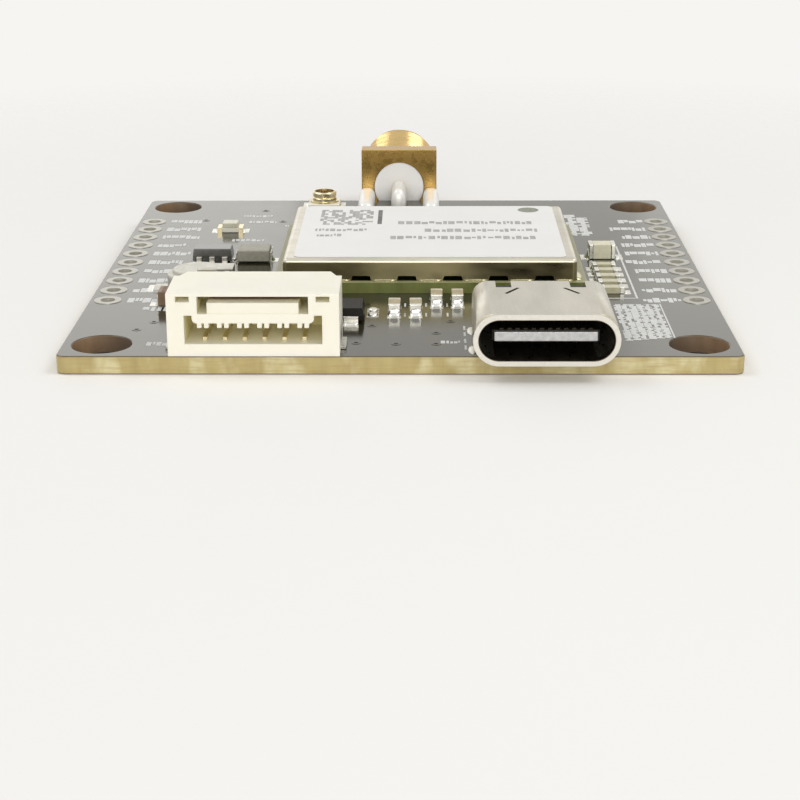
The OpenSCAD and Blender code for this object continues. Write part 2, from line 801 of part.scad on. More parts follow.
module data_socket_anchors() {
    color("silver")
        translate([data_x, front_y + anchor_set + anchor_len / 2, board_t])
            for (s = [-1, 1])
                translate([s * (data_w / 2 - anchor_t), 0, 0])
                    rotate([0, 0, -s * 90])
                        strip_x(anchor_len)
                            polygon([
                                [0, 0], [anchor_foot, 0], [anchor_foot, anchor_t],
                                [anchor_t, anchor_t], [anchor_t, anchor_h], [0, anchor_h]
                            ]);
}

// The shell's section behind its lip: rounder below than above
module shell_outline(w, h, high, low) {
    round_rect(w, h, low);
    translate([-w / 2, low - h / 2])
        square([w, h - low - high]);
    translate([0, h / 2 - high])
        stadium(w, 2 * high);
}

module usb_shell() {
    lip_rear = usb_front + lip_len;
    inner_w = usb_w - 2 * usb_wall;
    inner_h = usb_h - 2 * usb_wall;
    color("silver")
        difference() {
            translate([usb_x, 0, usb_mid]) {
                bar_y(lip_rear, usb_rear)
                    shell_outline(usb_w - 2 * side_in, usb_h, shell_corner, shell_low);
                bar_y(usb_front, lip_rear + usb_wall)
                    stadium(usb_w, usb_h);
                bar_y(usb_front, lip_rear)
                    stadium(usb_w + 2 * lip_flare, usb_h + 2 * lip_flare);
                translate([-usb_x, 0, -usb_h / 2 - tab_drop])
                    tab_places()
                        block(tab_t, tab_len, tab_drop + usb_h / 2);
            }
            translate([usb_x, 0, usb_mid]) {
                bar_y(usb_front - cut, lip_rear + usb_wall + cut)
                    stadium(inner_w, inner_h);
                bar_y(lip_rear + usb_wall, usb_rear + cut)
                    shell_outline(inner_w, inner_h, shell_corner - usb_wall, shell_low - usb_wall);
                for (s = [-1, 1]) {
                    translate([s * notch_x, usb_rear - notch_d / 2 + cut / 2, 0])
                        block(notch_w, notch_d + cut, usb_h);
                    translate([s * slit_x, usb_rear - slit_set, 0])
                        rotate([0, 0, s * slit_angle])
                            block(slit_w, slit_len, usb_h);
                }
            }
        }
}

// The places of one row of USB contacts
module usb_places() {
    for (i = [0 : usb_count - 1])
        translate([(i - (usb_count - 1) / 2) * usb_pitch, 0, 0])
            children();
}

module usb_insulator() {
    tip = usb_front + tongue_set + nose_len;
    base = usb_rear - usb_base_len;
    contact_z = tongue_t / 2;
    inset = usb_wall + usb_play;
    base_w = usb_w - 2 * inset;
    base_h = usb_h - 2 * inset;
    color("black")
        translate([usb_x, 0, usb_mid])
            difference() {
                union() {
                    bar_y(base, usb_rear)
                        shell_outline(base_w, base_h, shell_corner - inset, shell_low - inset);
                    bar_y(tip, base + cut)
                        square([tongue_w, tongue_t], center = true);
                }
                bar_y(tip - cut, base)
                    square([web_w + 2 * usb_play, web_t + 2 * usb_play], center = true);
                usb_places()
                    for (s = [-1, 1])
                        bar_y(base - cut, usb_rear + cut)
                            translate([0, s * (contact_z + usb_contact_t / 2)])
                                square([usb_contact_w + 2 * usb_play, usb_contact_t], center = true);
            }
}

module usb_mid_plate() {
    tip = usb_front + tongue_set;
    color("gainsboro")
        translate([usb_x, 0, usb_mid]) {
            bar_y(tip, tip + nose_len)
                square([nose_w, nose_h], center = true);
            bar_y(tip + nose_len, usb_rear - usb_base_len)
                square([web_w, web_t], center = true);
        }
}

module usb_contacts() {
    tip = usb_front + tongue_set + nose_len;
    up = tongue_t / 2;
    t = usb_contact_t;
    floor_z = -usb_h / 2;
    near = usb_rear + usb_tail_near;
    far = usb_rear + usb_tail_far;
    color("gold")
        translate([usb_x, 0, usb_mid])
            usb_places()
                strip_x(usb_contact_w) {
                    polygon([
                        [tip, up], [far, up], [far, floor_z], [far + usb_foot, floor_z],
                        [far + usb_foot, floor_z + t], [far + t, floor_z + t],
                        [far + t, up + t], [tip, up + t]
                    ]);
                    polygon([
                        [tip, -up - t], [near - t, -up - t], [near - t, floor_z],
                        [near + usb_foot - t, floor_z], [near + usb_foot - t, floor_z + t],
                        [near, floor_z + t], [near, -up], [tip, -up]
                    ]);
                }
}

module antenna_socket_body() {
    low = flange_w / 2 - ant_z;
    thread_r = barrel_d / 2;
    relief_r = relief_d / 2;
    color("darkgoldenrod")
        translate([ant_x, rear_y, ant_z])
            difference() {
                union() {
                    bar_y(0, flange_t)
                        square([flange_w, flange_w], center = true);
                    translate([0, flange_t, 0])
                        rotate([-90, 0, 0])
                            rotate_extrude()
                                polygon([
                                    [0, -flange_t / 2], [relief_r, -flange_t / 2],
                                    [relief_r, relief_len],
                                    [thread_r - barrel_chamfer, relief_len],
                                    [thread_r, relief_len + barrel_chamfer],
                                    [thread_r, barrel_len - barrel_chamfer],
                                    [thread_r - barrel_chamfer, barrel_len], [0, barrel_len]
                                ]);
                    for (s = [-1, 1]) {
                        translate([s * (flange_w - leg_w) / 2, -leg_len / 2 + cut / 2, -ant_rise])
                            block(leg_w, leg_len + cut, leg_h);
                        translate([s * (flange_w - leg_w) / 2, -leg_len / 2 + cut / 2, -flange_w / 2])
                            block(leg_w, leg_len + cut, low - leg_play);
                    }
                }
                rotate([-90, 0, 0]) {
                    translate([0, 0, -cut])
                        cylinder(d = insulator_d + 2 * ant_play, h = ant_plane + 2 * cut);
                    translate([0, 0, ant_plane])
                        cylinder(d = ant_mouth_d, h = ant_mouth_depth + cut);
                }
            }
}

module antenna_socket_insulator() {
    color("white")
        translate([ant_x, rear_y, ant_z])
            rotate([-90, 0, 0])
                difference() {
                    cylinder(d = insulator_d, h = ant_plane);
                    translate([0, 0, -cut])
                        cylinder(d = ant_pin_d + 2 * ant_play, h = ant_plane + 2 * cut);
                    translate([0, 0, ant_plane - ant_contact_len])
                        cylinder(d = ant_contact_d + 2 * ant_play, h = ant_contact_len + cut);
                }
}

module antenna_socket_pin() {
    color("goldenrod")
        translate([ant_x, rear_y, ant_z])
            rotate([-90, 0, 0])
                difference() {
                    union() {
                        translate([0, 0, -ant_pin_len])
                            cylinder(d = ant_pin_d, h = ant_pin_len + ant_plane);
                        translate([0, 0, ant_plane - ant_contact_len])
                            cylinder(d = ant_contact_d, h = ant_contact_len);
                    }
                    translate([0, 0, ant_plane - ant_contact_depth])
                        cylinder(d = ant_contact_bore, h = ant_contact_depth + cut);
                    translate([0, 0, ant_plane - ant_contact_depth / 2])
                        block(2 * ant_contact_d, ant_slit, ant_contact_depth);
                }
}

module antenna_solder() {
    leg_x = flange_w / 2 - leg_w;
    color("gainsboro")
        translate([ant_x, rear_y, board_t]) {
            bar_y(-solder_set - solder_len, -solder_set)
                difference() {
                    polygon([
                        [-solder_foot, 0], [solder_foot, 0],
                        [solder_neck, ant_rise], [-solder_neck, ant_rise]
                    ]);
                    translate([0, ant_rise])
                        circle(d = ant_pin_d);
                }
            for (s = [-1, 1])
                translate([s * leg_x, 0, 0])
                    bar_y(-leg_len, fillet_len - leg_len)
                        polygon([[0, 0], [-s * fillet_w, 0], [0, leg_h]]);
        }
}

module coax_socket_base() {
    color("beige")
        translate([coax_x, rear_y - coax_set, board_t])
            difference() {
                block(coax_base_w, coax_base_w, coax_base_t);
                translate([0, 0, -cut])
                    cylinder(d = coax_pin_d + 2 * ant_play, h = coax_base_t + 2 * cut);
            }
}

module coax_socket_ring() {
    r = coax_d / 2;
    inner = r - coax_wall;
    rise = coax_h - coax_base_t;
    color("gold")
        translate([coax_x, rear_y - coax_set, board_t + coax_base_t])
            rotate_extrude()
                polygon([
                    [inner, 0], [coax_foot_d / 2, 0], [coax_foot_d / 2, coax_foot_t], [r, coax_foot_t],
                    [r, rise / 2 - coax_groove], [r - coax_groove, rise / 2],
                    [r, rise / 2 + coax_groove], [r, rise - coax_groove],
                    [r - coax_groove, rise], [inner, rise]
                ]);
}

module coax_socket_pin() {
    color("gold")
        translate([coax_x, rear_y - coax_set, board_t])
            cylinder(d = coax_pin_d, h = coax_pin_h);
}

module receiver_board() {
    color("olivedrab")
        translate([rx_x, rx_y, board_t])
            block(rx_w, rx_d, rx_t);
}

// A slot in the foot of the shield, seen along the wall: wider at the board
module slot_shape() {
    polygon([
        [-slot_w / 2 - slot_flare, -cut], [slot_w / 2 + slot_flare, -cut], [slot_w / 2 + slot_flare, 0],
        [slot_w / 2, slot_h], [-slot_w / 2, slot_h], [-slot_w / 2 - slot_flare, 0]
    ]);
}

module receiver_shield() {
    inside_w = shield_w - 2 * shield_wall;
    inside_d = shield_d - 2 * shield_wall;
    color("darkkhaki")
        translate([rx_x, rx_y, rx_top])
            difference() {
                can(shield_w, shield_d, shield_h, shield_r);
                translate([0, 0, -cut])
                    block(inside_w, inside_d, shield_h - shield_wall + cut);
                for (i = [0 : slots_x - 1])
                    translate([(i - (slots_x - 1) / 2) * slot_pitch, 0, 0])
                        bar_y(-shield_d / 2 - cut, shield_d / 2 + cut)
                            slot_shape();
                for (i = [0 : slots_y - 1])
                    translate([0, (i - (slots_y - 1) / 2) * slot_pitch, 0])
                        strip_x(shield_w + 2 * cut)
                            slot_shape();
            }
}

module receiver_label() {
    color("white")
        translate([rx_x, rx_y, shield_top])
            linear_extrude(height = label_t)
                round_rect(shield_w - 2 * label_side, shield_d - 2 * label_end, label_r);
}

module receiver_chip() {
    color("black")
        translate([rx_x + chip_share * rx_w, rx_y, rx_top])
            block(chip_w, chip_w, chip_h);
}

module receiver_oscillator() {
    color("silver")
        translate([inner_x, rx_y + inner_row, rx_top])
            block(osc_w, osc_d, osc_h);
}

module receiver_filters() {
    color("gainsboro")
        for (s = [-1, 1])
            translate([inner_x + s * filter_pitch / 2, rx_y, rx_top])
                block(filter_w, filter_d, filter_h);
}

module receiver_amplifier() {
    color("dimgray")
        translate([inner_x - filter_pitch, rx_y - inner_row, rx_top])
            block(amp_w, amp_w, amp_h);
}

module receiver_memory() {
    color("black")
        translate([inner_x + filter_pitch / 2, rx_y - inner_row, rx_top])
            block(mem_w, mem_d, mem_h);
}

module diode_body() {
    line = diode_h / 2 - diode_lead_t;
    color("black")
        translate([diode_x, front_y + diode_front, board_t + diode_lead_t])
            moulded_body(diode_w, diode_len, diode_h - diode_lead_t, line, diode_taper);
}

module diode_leads() {
    line = diode_h / 2 - diode_lead_t;
    color("silver")
        translate([diode_x, front_y + diode_front, board_t])
            for (a = [0, 180])
                rotate([0, 0, a])
                    translate([0, diode_len / 2, 0])
                        bent_lead(line, 0, diode_reach, diode_lead_t, diode_lead_w);
}

function cap_place(i) = [
    cap_x + (i - 1) * cap_pitch,
    front_y + cap_front + (i > cap_count / 2 ? cap_stagger : 0),
    board_t
];

module chip_capacitor(i) {
    color("tan")
        translate(cap_place(i))
            chip_middle(cap_len, cap_w, cap_h);
}

module chip_capacitor_ends() {
    color("gainsboro")
        for (i = [1 : cap_count])
            translate(cap_place(i))
                chip_ends(cap_len, cap_w, cap_h);
}

module resistor_place(i) {
    translate([res_x, res_y + (i - 1) * res_pitch, board_t])
        rotate([0, 0, 90])
            children();
}

module chip_resistor(i) {
    color("black")
        resistor_place(i)
            chip_middle(res_len, res_w, res_h);
}

module chip_resistor_ends() {
    color("gainsboro")
        for (i = [1 : res_count])
            resistor_place(i)
                chip_ends(res_len, res_w, res_h);
}

module bulk_place() {
    translate([bulk_x, bulk_y, board_t])
        rotate([0, 0, 90])
            children();
}

module bulk_capacitor_body() {
    color("tan")
        bulk_place()
            chip_middle(bulk_len, bulk_w, bulk_h);
}

module bulk_capacitor_ends() {
    color("gainsboro")
        bulk_place()
            chip_ends(bulk_len, bulk_w, bulk_h);
}

module inductor_body() {
    color("dimgray")
        translate([ind_x, ind_y, board_t + wrap_t])
            block(ind_len, ind_d, ind_h - wrap_t);
}

module inductor_terminals() {
    color("silver")
        translate([ind_x, ind_y, board_t])
            for (a = [90, 270])
                rotate([0, 0, a])
                    translate([0, ind_len / 2, 0])
                        wrap_terminal(ind_term_w);
}

module regulator_body() {
    color("black")
        translate([reg_x, ind_y, board_t + reg_lead_t])
            moulded_body(reg_w, reg_d, reg_h - reg_lead_t, reg_h / 2 - reg_lead_t, reg_taper);
}

module regulator_leads() {
    exit_z = reg_h / 2 - reg_lead_t;
    color("silver")
        translate([reg_x, ind_y, board_t]) {
            for (i = [-1, 0, 1])
                translate([i * reg_pitch, -reg_d / 2, 0])
                    rotate([0, 0, 180])
                        bent_lead(exit_z, reg_knee, reg_reach, reg_lead_t, reg_lead_w);
            for (i = [-1, 1])
                translate([i * reg_pitch, reg_d / 2, 0])
                    bent_lead(exit_z, reg_knee, reg_reach, reg_lead_t, reg_lead_w);
        }
}

module backup_cell_can() {
    r = cell_d / 2;
    cap_r = cell_cap_d / 2;
    color("lightgray")
        translate([cell_x, cell_y, board_t + cell_tab_t])
            rotate_extrude()
                polygon([
                    [0, 0], [r, 0], [r, cell_h - cell_step],
                    [cap_r, cell_h - cell_step], [cap_r, cell_h], [0, cell_h]
                ]);
}

module backup_cell_tabs() {
    r = cell_d / 2;
    top = cell_tab_t + cell_h;
    knee = r + cell_tab_t;
    tip = r + cell_tab_reach;
    color("silver")
        translate([cell_x, cell_y, board_t]) {
            rotate([0, 0, -90])
                strip_x(cell_tab_w)
                    polygon([
                        [0, top], [knee, top], [knee, 0], [tip, 0], [tip, cell_tab_t],
                        [knee + cell_tab_t, cell_tab_t], [knee + cell_tab_t, top + cell_tab_t],
                        [0, top + cell_tab_t]
                    ]);
            rotate([0, 0, 90])
                strip_x(cell_tab_w)
                    translate([-cell_tab_lap, 0])
                        square([tip + cell_tab_lap, cell_tab_t]);
        }
}

module tantalum_body() {
    color("peru")
        translate([tant_x, tant_y, board_t + wrap_t])
            block(tant_len, tant_w, tant_h - wrap_t);
}

module tantalum_terminals() {
    color("silver")
        translate([tant_x, tant_y, board_t])
            for (a = [90, 270])
                rotate([0, 0, a])
                    translate([0, tant_len / 2, 0])
                        wrap_terminal(tant_term_w);
}

module light_place() {
    translate([light_x, light_y, board_t])
        rotate([0, 0, 90])
            children();
}

module status_light_base() {
    color("white")
        light_place()
            chip_middle(light_len, light_w, light_base);
}

module status_light_lens() {
    color("lightyellow")
        light_place()
            translate([0, 0, light_base - end_proud])
                block(light_w - 2 * end_proud, lens_len, light_h - light_base);
}

module status_light_ends() {
    color("gold")
        light_place()
            chip_ends(light_len, light_w, light_base);
}

circuit_board();
header_eyelets_left();
header_eyelets_right();
data_socket_housing();
data_socket_contacts();
data_socket_anchors();
usb_shell();
usb_insulator();
usb_mid_plate();
usb_contacts();
antenna_socket_body();
antenna_socket_insulator();
antenna_socket_pin();
antenna_solder();
coax_socket_base();
coax_socket_ring();
coax_socket_pin();
receiver_board();
receiver_shield();
receiver_label();
receiver_chip();
receiver_oscillator();
receiver_filters();
receiver_amplifier();
receiver_memory();
diode_body();
diode_leads();
for (i = [1 : cap_count])
    chip_capacitor(i);
chip_capacitor_ends();
for (i = [1 : res_count])
    chip_resistor(i);
chip_resistor_ends();
bulk_capacitor_body();
bulk_capacitor_ends();
inductor_body();
inductor_terminals();
regulator_body();
regulator_leads();
backup_cell_can();
backup_cell_tabs();
tantalum_body();
tantalum_terminals();
status_light_base();
status_light_lens();
status_light_ends();
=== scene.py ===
"""Looks of the satellite positioning module: materials, print, solder and thread."""
import math
import random

import bmesh
import bpy
from mathutils import Matrix, Vector


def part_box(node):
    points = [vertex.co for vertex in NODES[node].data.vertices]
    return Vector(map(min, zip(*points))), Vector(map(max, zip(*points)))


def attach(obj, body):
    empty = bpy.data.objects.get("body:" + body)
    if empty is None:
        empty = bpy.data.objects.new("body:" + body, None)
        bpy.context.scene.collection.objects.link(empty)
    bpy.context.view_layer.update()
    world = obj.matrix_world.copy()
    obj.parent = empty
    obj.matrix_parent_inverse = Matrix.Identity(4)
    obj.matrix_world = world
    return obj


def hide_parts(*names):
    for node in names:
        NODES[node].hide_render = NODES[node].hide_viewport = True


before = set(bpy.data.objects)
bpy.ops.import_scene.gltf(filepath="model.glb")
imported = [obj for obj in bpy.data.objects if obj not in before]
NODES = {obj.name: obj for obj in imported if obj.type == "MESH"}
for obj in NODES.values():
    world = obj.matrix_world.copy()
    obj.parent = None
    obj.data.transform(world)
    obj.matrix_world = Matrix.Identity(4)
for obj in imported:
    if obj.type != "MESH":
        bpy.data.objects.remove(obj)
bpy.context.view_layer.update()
MM = 0.001

# Places in millimetres, in the part's own frame
BOARD_TOP, BOARD_HALF = 1.2, 21.6
HOLE_AT = 19.05
LABEL_TOP = 3.66
ANT_X, ANT_Z = -0.55, 2.35
LEG_Y, LEG_LOW = 16.85, -0.825
USB_X, USB_Z = 9.05, 2.78
USB_RIM_Y = -23.33
USB_FLAT, USB_BORE = 2.89, 1.33
USB_TAB_X, USB_TAB_YS = 4.42, (-20.3, -16.2)
USB_FEET, USB_FOOT_PITCH, USB_FOOT_Y = 12, 0.5, -14.4
RX_X, RX_Y, RX_TOP = 1.95, 1.2, 2.0
SHIELD_X, SHIELD_Y = 10.3, 8.1
SHIELD_INSET = 0.1
DATA_X = -9.1
DATA_PINS, DATA_PITCH, DATA_FOOT_Y = 6, 1.25, -15.4

# The wire socket's mouth, with a painted honey-coloured glow for light through the nylon, and the
# latch window above it, with a painted shadow at its back
MOUTH_X, MOUTH_Z, MOUTH_HALF_Z, MOUTH_END_Y = 4.9, 3.2, 1.86, -17.0
GLOW_Y = (-21.55, -20.2)
WINDOW_X, WINDOW_Z, WINDOW_SHADOW_Y = 3.46, 4.6, (-20.85, -20.5)

# Camera fitted to the photo: place in millimetres, turns in degrees
CAMERA_AT = (1.39, -127.69, 35.56)
PITCH, YAW, ROLL = 19.339, 0.74, -0.207
LENS, SENSOR = 80.4, 36

# Light that falls on the part, and the background that is seen and mirrored
SKY_LIGHT, SKY_STRENGTH = (1.0, 0.985, 0.95, 1), 0.46
SKY_SHOWN = (0.925, 0.912, 0.888, 1)
# Name, place, target, size in millimetres, power, colour
LAMPS = (
    ("key", (200, -40, 300), (0, 0, 0), (170, 170), 0.34, (1.0, 0.985, 0.955)),
    ("fill", (-190, 30, 280), (0, 0, 0), (150, 150), 0.20, (1.0, 0.99, 0.965)),
    ("front", (20, -395, 135), (0, -10, 0), (320, 200), 0.62, (1.0, 0.985, 0.955)),
    ("side", (130, 320, 100), (16, -8, 1), (150, 130), 0.020, (1.0, 0.98, 0.93)),
    ("rear", (-125, 320, 100), (-14, 6, 1), (200, 130), 0.050, (1.0, 0.99, 0.97)),
)


# Scene: camera, light, floor
def make_camera():
    pitch, yaw, roll = (math.radians(a) for a in (PITCH, YAW, ROLL))
    flat = math.cos(pitch)
    ahead = Vector((-math.sin(yaw) * flat, math.cos(yaw) * flat, -math.sin(pitch)))
    right = Vector((math.cos(yaw), math.sin(yaw), 0))
    up = right.cross(ahead)
    cam_x = math.cos(roll) * right + math.sin(roll) * up
    cam_y = math.cos(roll) * up - math.sin(roll) * right
    data = bpy.data.cameras.new("camera")
    data.sensor_width = SENSOR
    data.lens = LENS
    data.clip_start, data.clip_end = 0.005, 20
    cam = bpy.data.objects.new("camera", data)
    turn = Matrix((cam_x, cam_y, -ahead)).transposed().to_4x4()
    cam.matrix_world = Matrix.Translation(Vector(CAMERA_AT) * MM) @ turn
    bpy.context.scene.collection.objects.link(cam)
    bpy.context.scene.camera = cam


def area_lamp(name, place, target, size, power, colour):
    data = bpy.data.lights.new(name, "AREA")
    data.shape = "RECTANGLE"
    data.size, data.size_y = (s * MM for s in size)
    data.energy = power
    data.color = colour
    lamp = bpy.data.objects.new(name, data)
    lamp.location = Vector(place) * MM
    lamp.visible_camera = False
    way = Vector(target) - Vector(place)
    lamp.rotation_euler = way.to_track_quat("-Z", "Y").to_euler()
    bpy.context.scene.collection.objects.link(lamp)


def make_world():
    """Plain light on the part, and a pale background where it is seen or mirrored."""
    world = bpy.data.worlds.new("studio")
    bpy.context.scene.world = world
    world.use_nodes = True
    tree = world.node_tree
    tree.nodes.clear()
    path = tree.nodes.new("ShaderNodeLightPath")
    seen = path.outputs["Is Camera Ray"]
    for ray in ("Is Glossy Ray", "Is Transmission Ray"):
        either = tree.nodes.new("ShaderNodeMath")
        either.operation = "MAXIMUM"
        tree.links.new(seen, either.inputs[0])
        tree.links.new(path.outputs[ray], either.inputs[1])
        seen = either.outputs[0]
    mix = tree.nodes.new("ShaderNodeMixShader")
    tree.links.new(seen, mix.inputs[0])
    for i, (colour, strength) in enumerate(((SKY_LIGHT, SKY_STRENGTH), (SKY_SHOWN, 1.0)), 1):
        sky = tree.nodes.new("ShaderNodeBackground")
        sky.inputs["Color"].default_value = colour
        sky.inputs["Strength"].default_value = strength
        tree.links.new(sky.outputs[0], mix.inputs[i])
    out = tree.nodes.new("ShaderNodeOutputWorld")
    tree.links.new(mix.outputs[0], out.inputs["Surface"])


# Materials: each a Principled shader whose colour, roughness and relief vary over the surface
class Look:
    """One procedural material in the object's own coordinates; sizes are given in millimetres."""

    def __init__(self, name, rough=0.4, metal=0.0, ior=1.5, **fixed):
        self.mat = bpy.data.materials.new(name)
        self.mat.use_nodes = True
        self.tree = self.mat.node_tree
        self.bsdf = self.tree.nodes["Principled BSDF"]
        self.set("Roughness", rough)
        self.set("Metallic", metal)
        self.set("IOR", ior)
        for key, value in fixed.items():
            self.set(key.replace("_", " ").title().replace("Ior", "IOR"), value)
        self.coord = self.node("ShaderNodeTexCoord").outputs["Object"]

    def set(self, socket, value):
        self.bsdf.inputs[socket].default_value = value

    def node(self, kind, **props):
        made = self.tree.nodes.new(kind)
        for key, value in props.items():
            setattr(made, key, value)
        return made

    def link(self, source, target):
        self.tree.links.new(source, target)

    def noise(self, size, detail=3.0, stretch=(1, 1, 1)):
        """Noise from 0 to 1, with lumps of the given size in millimetres."""
        place = self.node("ShaderNodeMapping")
        place.inputs["Scale"].default_value = [s / (size * MM) for s in stretch]
        self.link(self.coord, place.inputs["Vector"])
        made = self.node("ShaderNodeTexNoise")
        made.inputs["Scale"].default_value = 1.0
        made.inputs["Detail"].default_value = detail
        self.link(place.outputs[0], made.inputs["Vector"])
        return made.outputs["Fac"]

    def remap(self, source, low, high, start=0.3, end=0.7):
        made = self.node("ShaderNodeMapRange")
        made.inputs["From Min"].default_value = start
        made.inputs["From Max"].default_value = end
        made.inputs["To Min"].default_value = low
        made.inputs["To Max"].default_value = high
        self.link(source, made.inputs["Value"])
        return made.outputs["Result"]

    def math(self, operation, a, b=0.0):
        made = self.node("ShaderNodeMath", operation=operation)
        for i, x in enumerate((a, b)):
            if isinstance(x, (int, float)):
                made.inputs[i].default_value = x
            else:
                self.link(x, made.inputs[i])
        return made.outputs[0]

    def mix(self, factor, a, b):
        """Colour a where the factor is 0 and b where it is 1; each is a colour or a socket."""
        made = self.node("ShaderNodeMix", data_type="RGBA")
        self.link(factor, made.inputs["Factor"])
        for name, x in (("A", a), ("B", b)):
            socket = next(s for s in made.inputs if s.name == name and s.type == "RGBA")
            if isinstance(x, tuple):
                socket.default_value = (*x, 1)
            else:
                self.link(x, socket)
        return next(s for s in made.outputs if s.type == "RGBA")

    def tones(self, source, deep, pale):
        """A colour that wanders between two tones with a noise."""
        return self.mix(self.remap(source, 0, 1), deep, pale)

    def axis(self, which):
        made = self.node("ShaderNodeSeparateXYZ")
        self.link(self.coord, made.inputs[0])
        return made.outputs[which]

    def away(self, which, middle):
        """Distance from a plane across an axis, given in millimetres."""
        return self.math("ABSOLUTE", self.math("SUBTRACT", self.axis(which), middle * MM))

    def below(self, source, limit):
        return self.math("LESS_THAN", source, limit * MM)

    def above(self, source, limit):
        return self.math("GREATER_THAN", source, limit * MM)

    def ramp(self, source, span):
        """0 at the span's start and 1 at its end, in millimetres."""
        return self.remap(source, 0, 1, span[0] * MM, span[1] * MM)

    def both(self, a, b):
        return self.math("MULTIPLY", a, b)

    def upright(self, low=0.55, high=0.75):
        """1 on faces that look up or down, 0 on side faces."""
        geo = self.node("ShaderNodeNewGeometry")
        part = self.node("ShaderNodeSeparateXYZ")
        self.link(geo.outputs["Normal"], part.inputs[0])
        size = self.math("ABSOLUTE", part.outputs["Z"])
        return self.remap(size, 0.0, 1.0, low, high)

    def colour(self, source):
        self.link(source, self.bsdf.inputs["Base Color"])

    def roughness(self, source):
        self.link(source, self.bsdf.inputs["Roughness"])

    def bump(self, source, depth):
        made = self.node("ShaderNodeBump")
        made.inputs["Strength"].default_value = 1.0
        made.inputs["Distance"].default_value = depth * MM
        self.link(source, made.inputs["Height"])
        self.link(made.outputs[0], self.bsdf.inputs["Normal"])


FINE_SHARE = 0.22


def plain_look(name, pale, deep, size, rough, relief, metal=0.0, **fixed):
    """Colour that wanders between two tones, with matching roughness and relief."""
    look = Look(name, metal=metal, **fixed)
    tone = look.noise(size, 4.0)
    fine = look.noise(size * FINE_SHARE)
    look.colour(look.tones(tone, deep, pale))
    look.roughness(look.remap(fine, *rough))
    look.bump(fine, relief)
    return look.mat


def board_look():
    """Gloss mask on both faces, glass-fibre laminate on the edges and in the holes."""
    look = Look("mask_over_laminate", ior=1.72, specular_tint=(1.0, 0.98, 0.86, 1.0))
    faces = look.upright()
    dust = look.noise(2.6, 5.0)
    streak = look.noise(0.9, 4.0, (1, 1, 0.25))
    layer = look.noise(0.16, 2.0, (0.08, 0.08, 1))
    patch = look.noise(1.7, 3.0, (1, 1, 0.6))
    mask = look.tones(dust, (0.022, 0.020, 0.009), (0.032, 0.029, 0.014))
    # The outer edges: mottled fibre between two darker skins
    core = look.tones(streak, (0.40, 0.31, 0.12), (0.52, 0.43, 0.19))
    core = look.mix(look.remap(patch, 0, 0.75, 0.47, 0.66), core, (0.72, 0.66, 0.40))
    core = look.mix(look.remap(layer, 0, 0.45, 0.45, 0.7), core, (0.40, 0.27, 0.10))
    middle = look.away("Z", BOARD_TOP / 2)
    skin = look.remap(middle, 0.0, 0.75, 0.50 * MM, 0.56 * MM)
    core = look.mix(skin, core, (0.20, 0.13, 0.05))
    # The walls of the holes: brown laminate with painted shade, darker towards the board's middle
    far_x = look.math("ABSOLUTE", look.axis("X"))
    far_y = look.math("ABSOLUTE", look.axis("Y"))
    across = look.math("SUBTRACT", far_x, HOLE_AT * MM)
    # Painted shade: the brown hole wall darkens towards the board's middle
    shaded_hole_wall = look.mix(look.ramp(across, (-1.7, 1.5)), (0.030, 0.017, 0.010), (0.23, 0.135, 0.065))
    shaded_hole_wall = look.mix(look.remap(streak, 0, 0.5), shaded_hole_wall, (0.10, 0.055, 0.028))
    holes = look.below(look.math("MAXIMUM", far_x, far_y), BOARD_HALF - 0.2)
    core = look.mix(holes, core, shaded_hole_wall)
    look.colour(look.mix(faces, core, mask))
    rough = look.node("ShaderNodeMix", data_type="FLOAT")
    look.link(faces, rough.inputs["Factor"])
    look.link(look.remap(streak, 0.55, 0.75), rough.inputs["A"])
    look.link(look.remap(dust, 0.13, 0.18), rough.inputs["B"])
    look.roughness(rough.outputs[0])
    look.bump(look.noise(0.35), 0.002)
    return look.mat


def shell_look():
    """Satin drawn steel, with a painted highlight that makes the front lip paler and painted shade
    that makes the inside of the oval shell darker.
    """
    look = Look("drawn_steel", metal=1.0)
    tone = look.noise(1.4, 4.0, (1, 0.25, 1))
    fine = look.noise(0.22, 3.0, (1, 0.2, 1))
    steel = look.tones(tone, (0.51, 0.485, 0.41), (0.61, 0.58, 0.50))
    out = look.math("SUBTRACT", look.away("X", USB_X), USB_FLAT * MM)
    out = look.math("MAXIMUM", out, 0.0)
    rise = look.math("SUBTRACT", look.axis("Z"), USB_Z * MM)
    square = look.math("ADD", look.both(out, out), look.both(rise, rise))
    # Painted shade: the steel inside the oval shell is darkened
    inner = look.math("LESS_THAN", square, (USB_BORE * MM) ** 2)
    # Painted highlight: the front lip is made paler
    rim = look.below(look.axis("Y"), USB_RIM_Y)
    steel = look.mix(rim, steel, (0.76, 0.73, 0.66))
    look.colour(look.mix(inner, steel, (0.24, 0.205, 0.155)))
    look.roughness(look.remap(fine, 0.26, 0.38))
    look.bump(fine, 0.0008)
    return look.mat


def receiver_board_look():
    """Green mask below, tinned rim around the shield on top with painted shade where the shield
    covers it, olive laminate on the edges.
    """
    look = Look("receiver_laminate")
    tone = look.noise(1.2, 4.0, (1, 1, 0.3))
    edge = look.tones(tone, (0.11, 0.13, 0.026), (0.21, 0.23, 0.06))
    face = look.tones(tone, (0.020, 0.075, 0.022), (0.030, 0.10, 0.030))
    painted_shade_under_shield = look.both(look.below(look.away("X", RX_X), SHIELD_X - SHIELD_INSET),
                        look.below(look.away("Y", RX_Y), SHIELD_Y - SHIELD_INSET))
    rim = look.tones(tone, (0.30, 0.29, 0.15), (0.42, 0.40, 0.23))
    top = look.above(look.axis("Z"), (BOARD_TOP + RX_TOP) / 2)
    # Painted shade: the board under the shield is made near black
    face = look.mix(top, face, look.mix(painted_shade_under_shield, rim, (0.004, 0.012, 0.005)))
    look.colour(look.mix(look.upright(), edge, face))
    look.roughness(look.remap(tone, 0.32, 0.5))
    look.bump(look.noise(0.2), 0.004)
    return look.mat


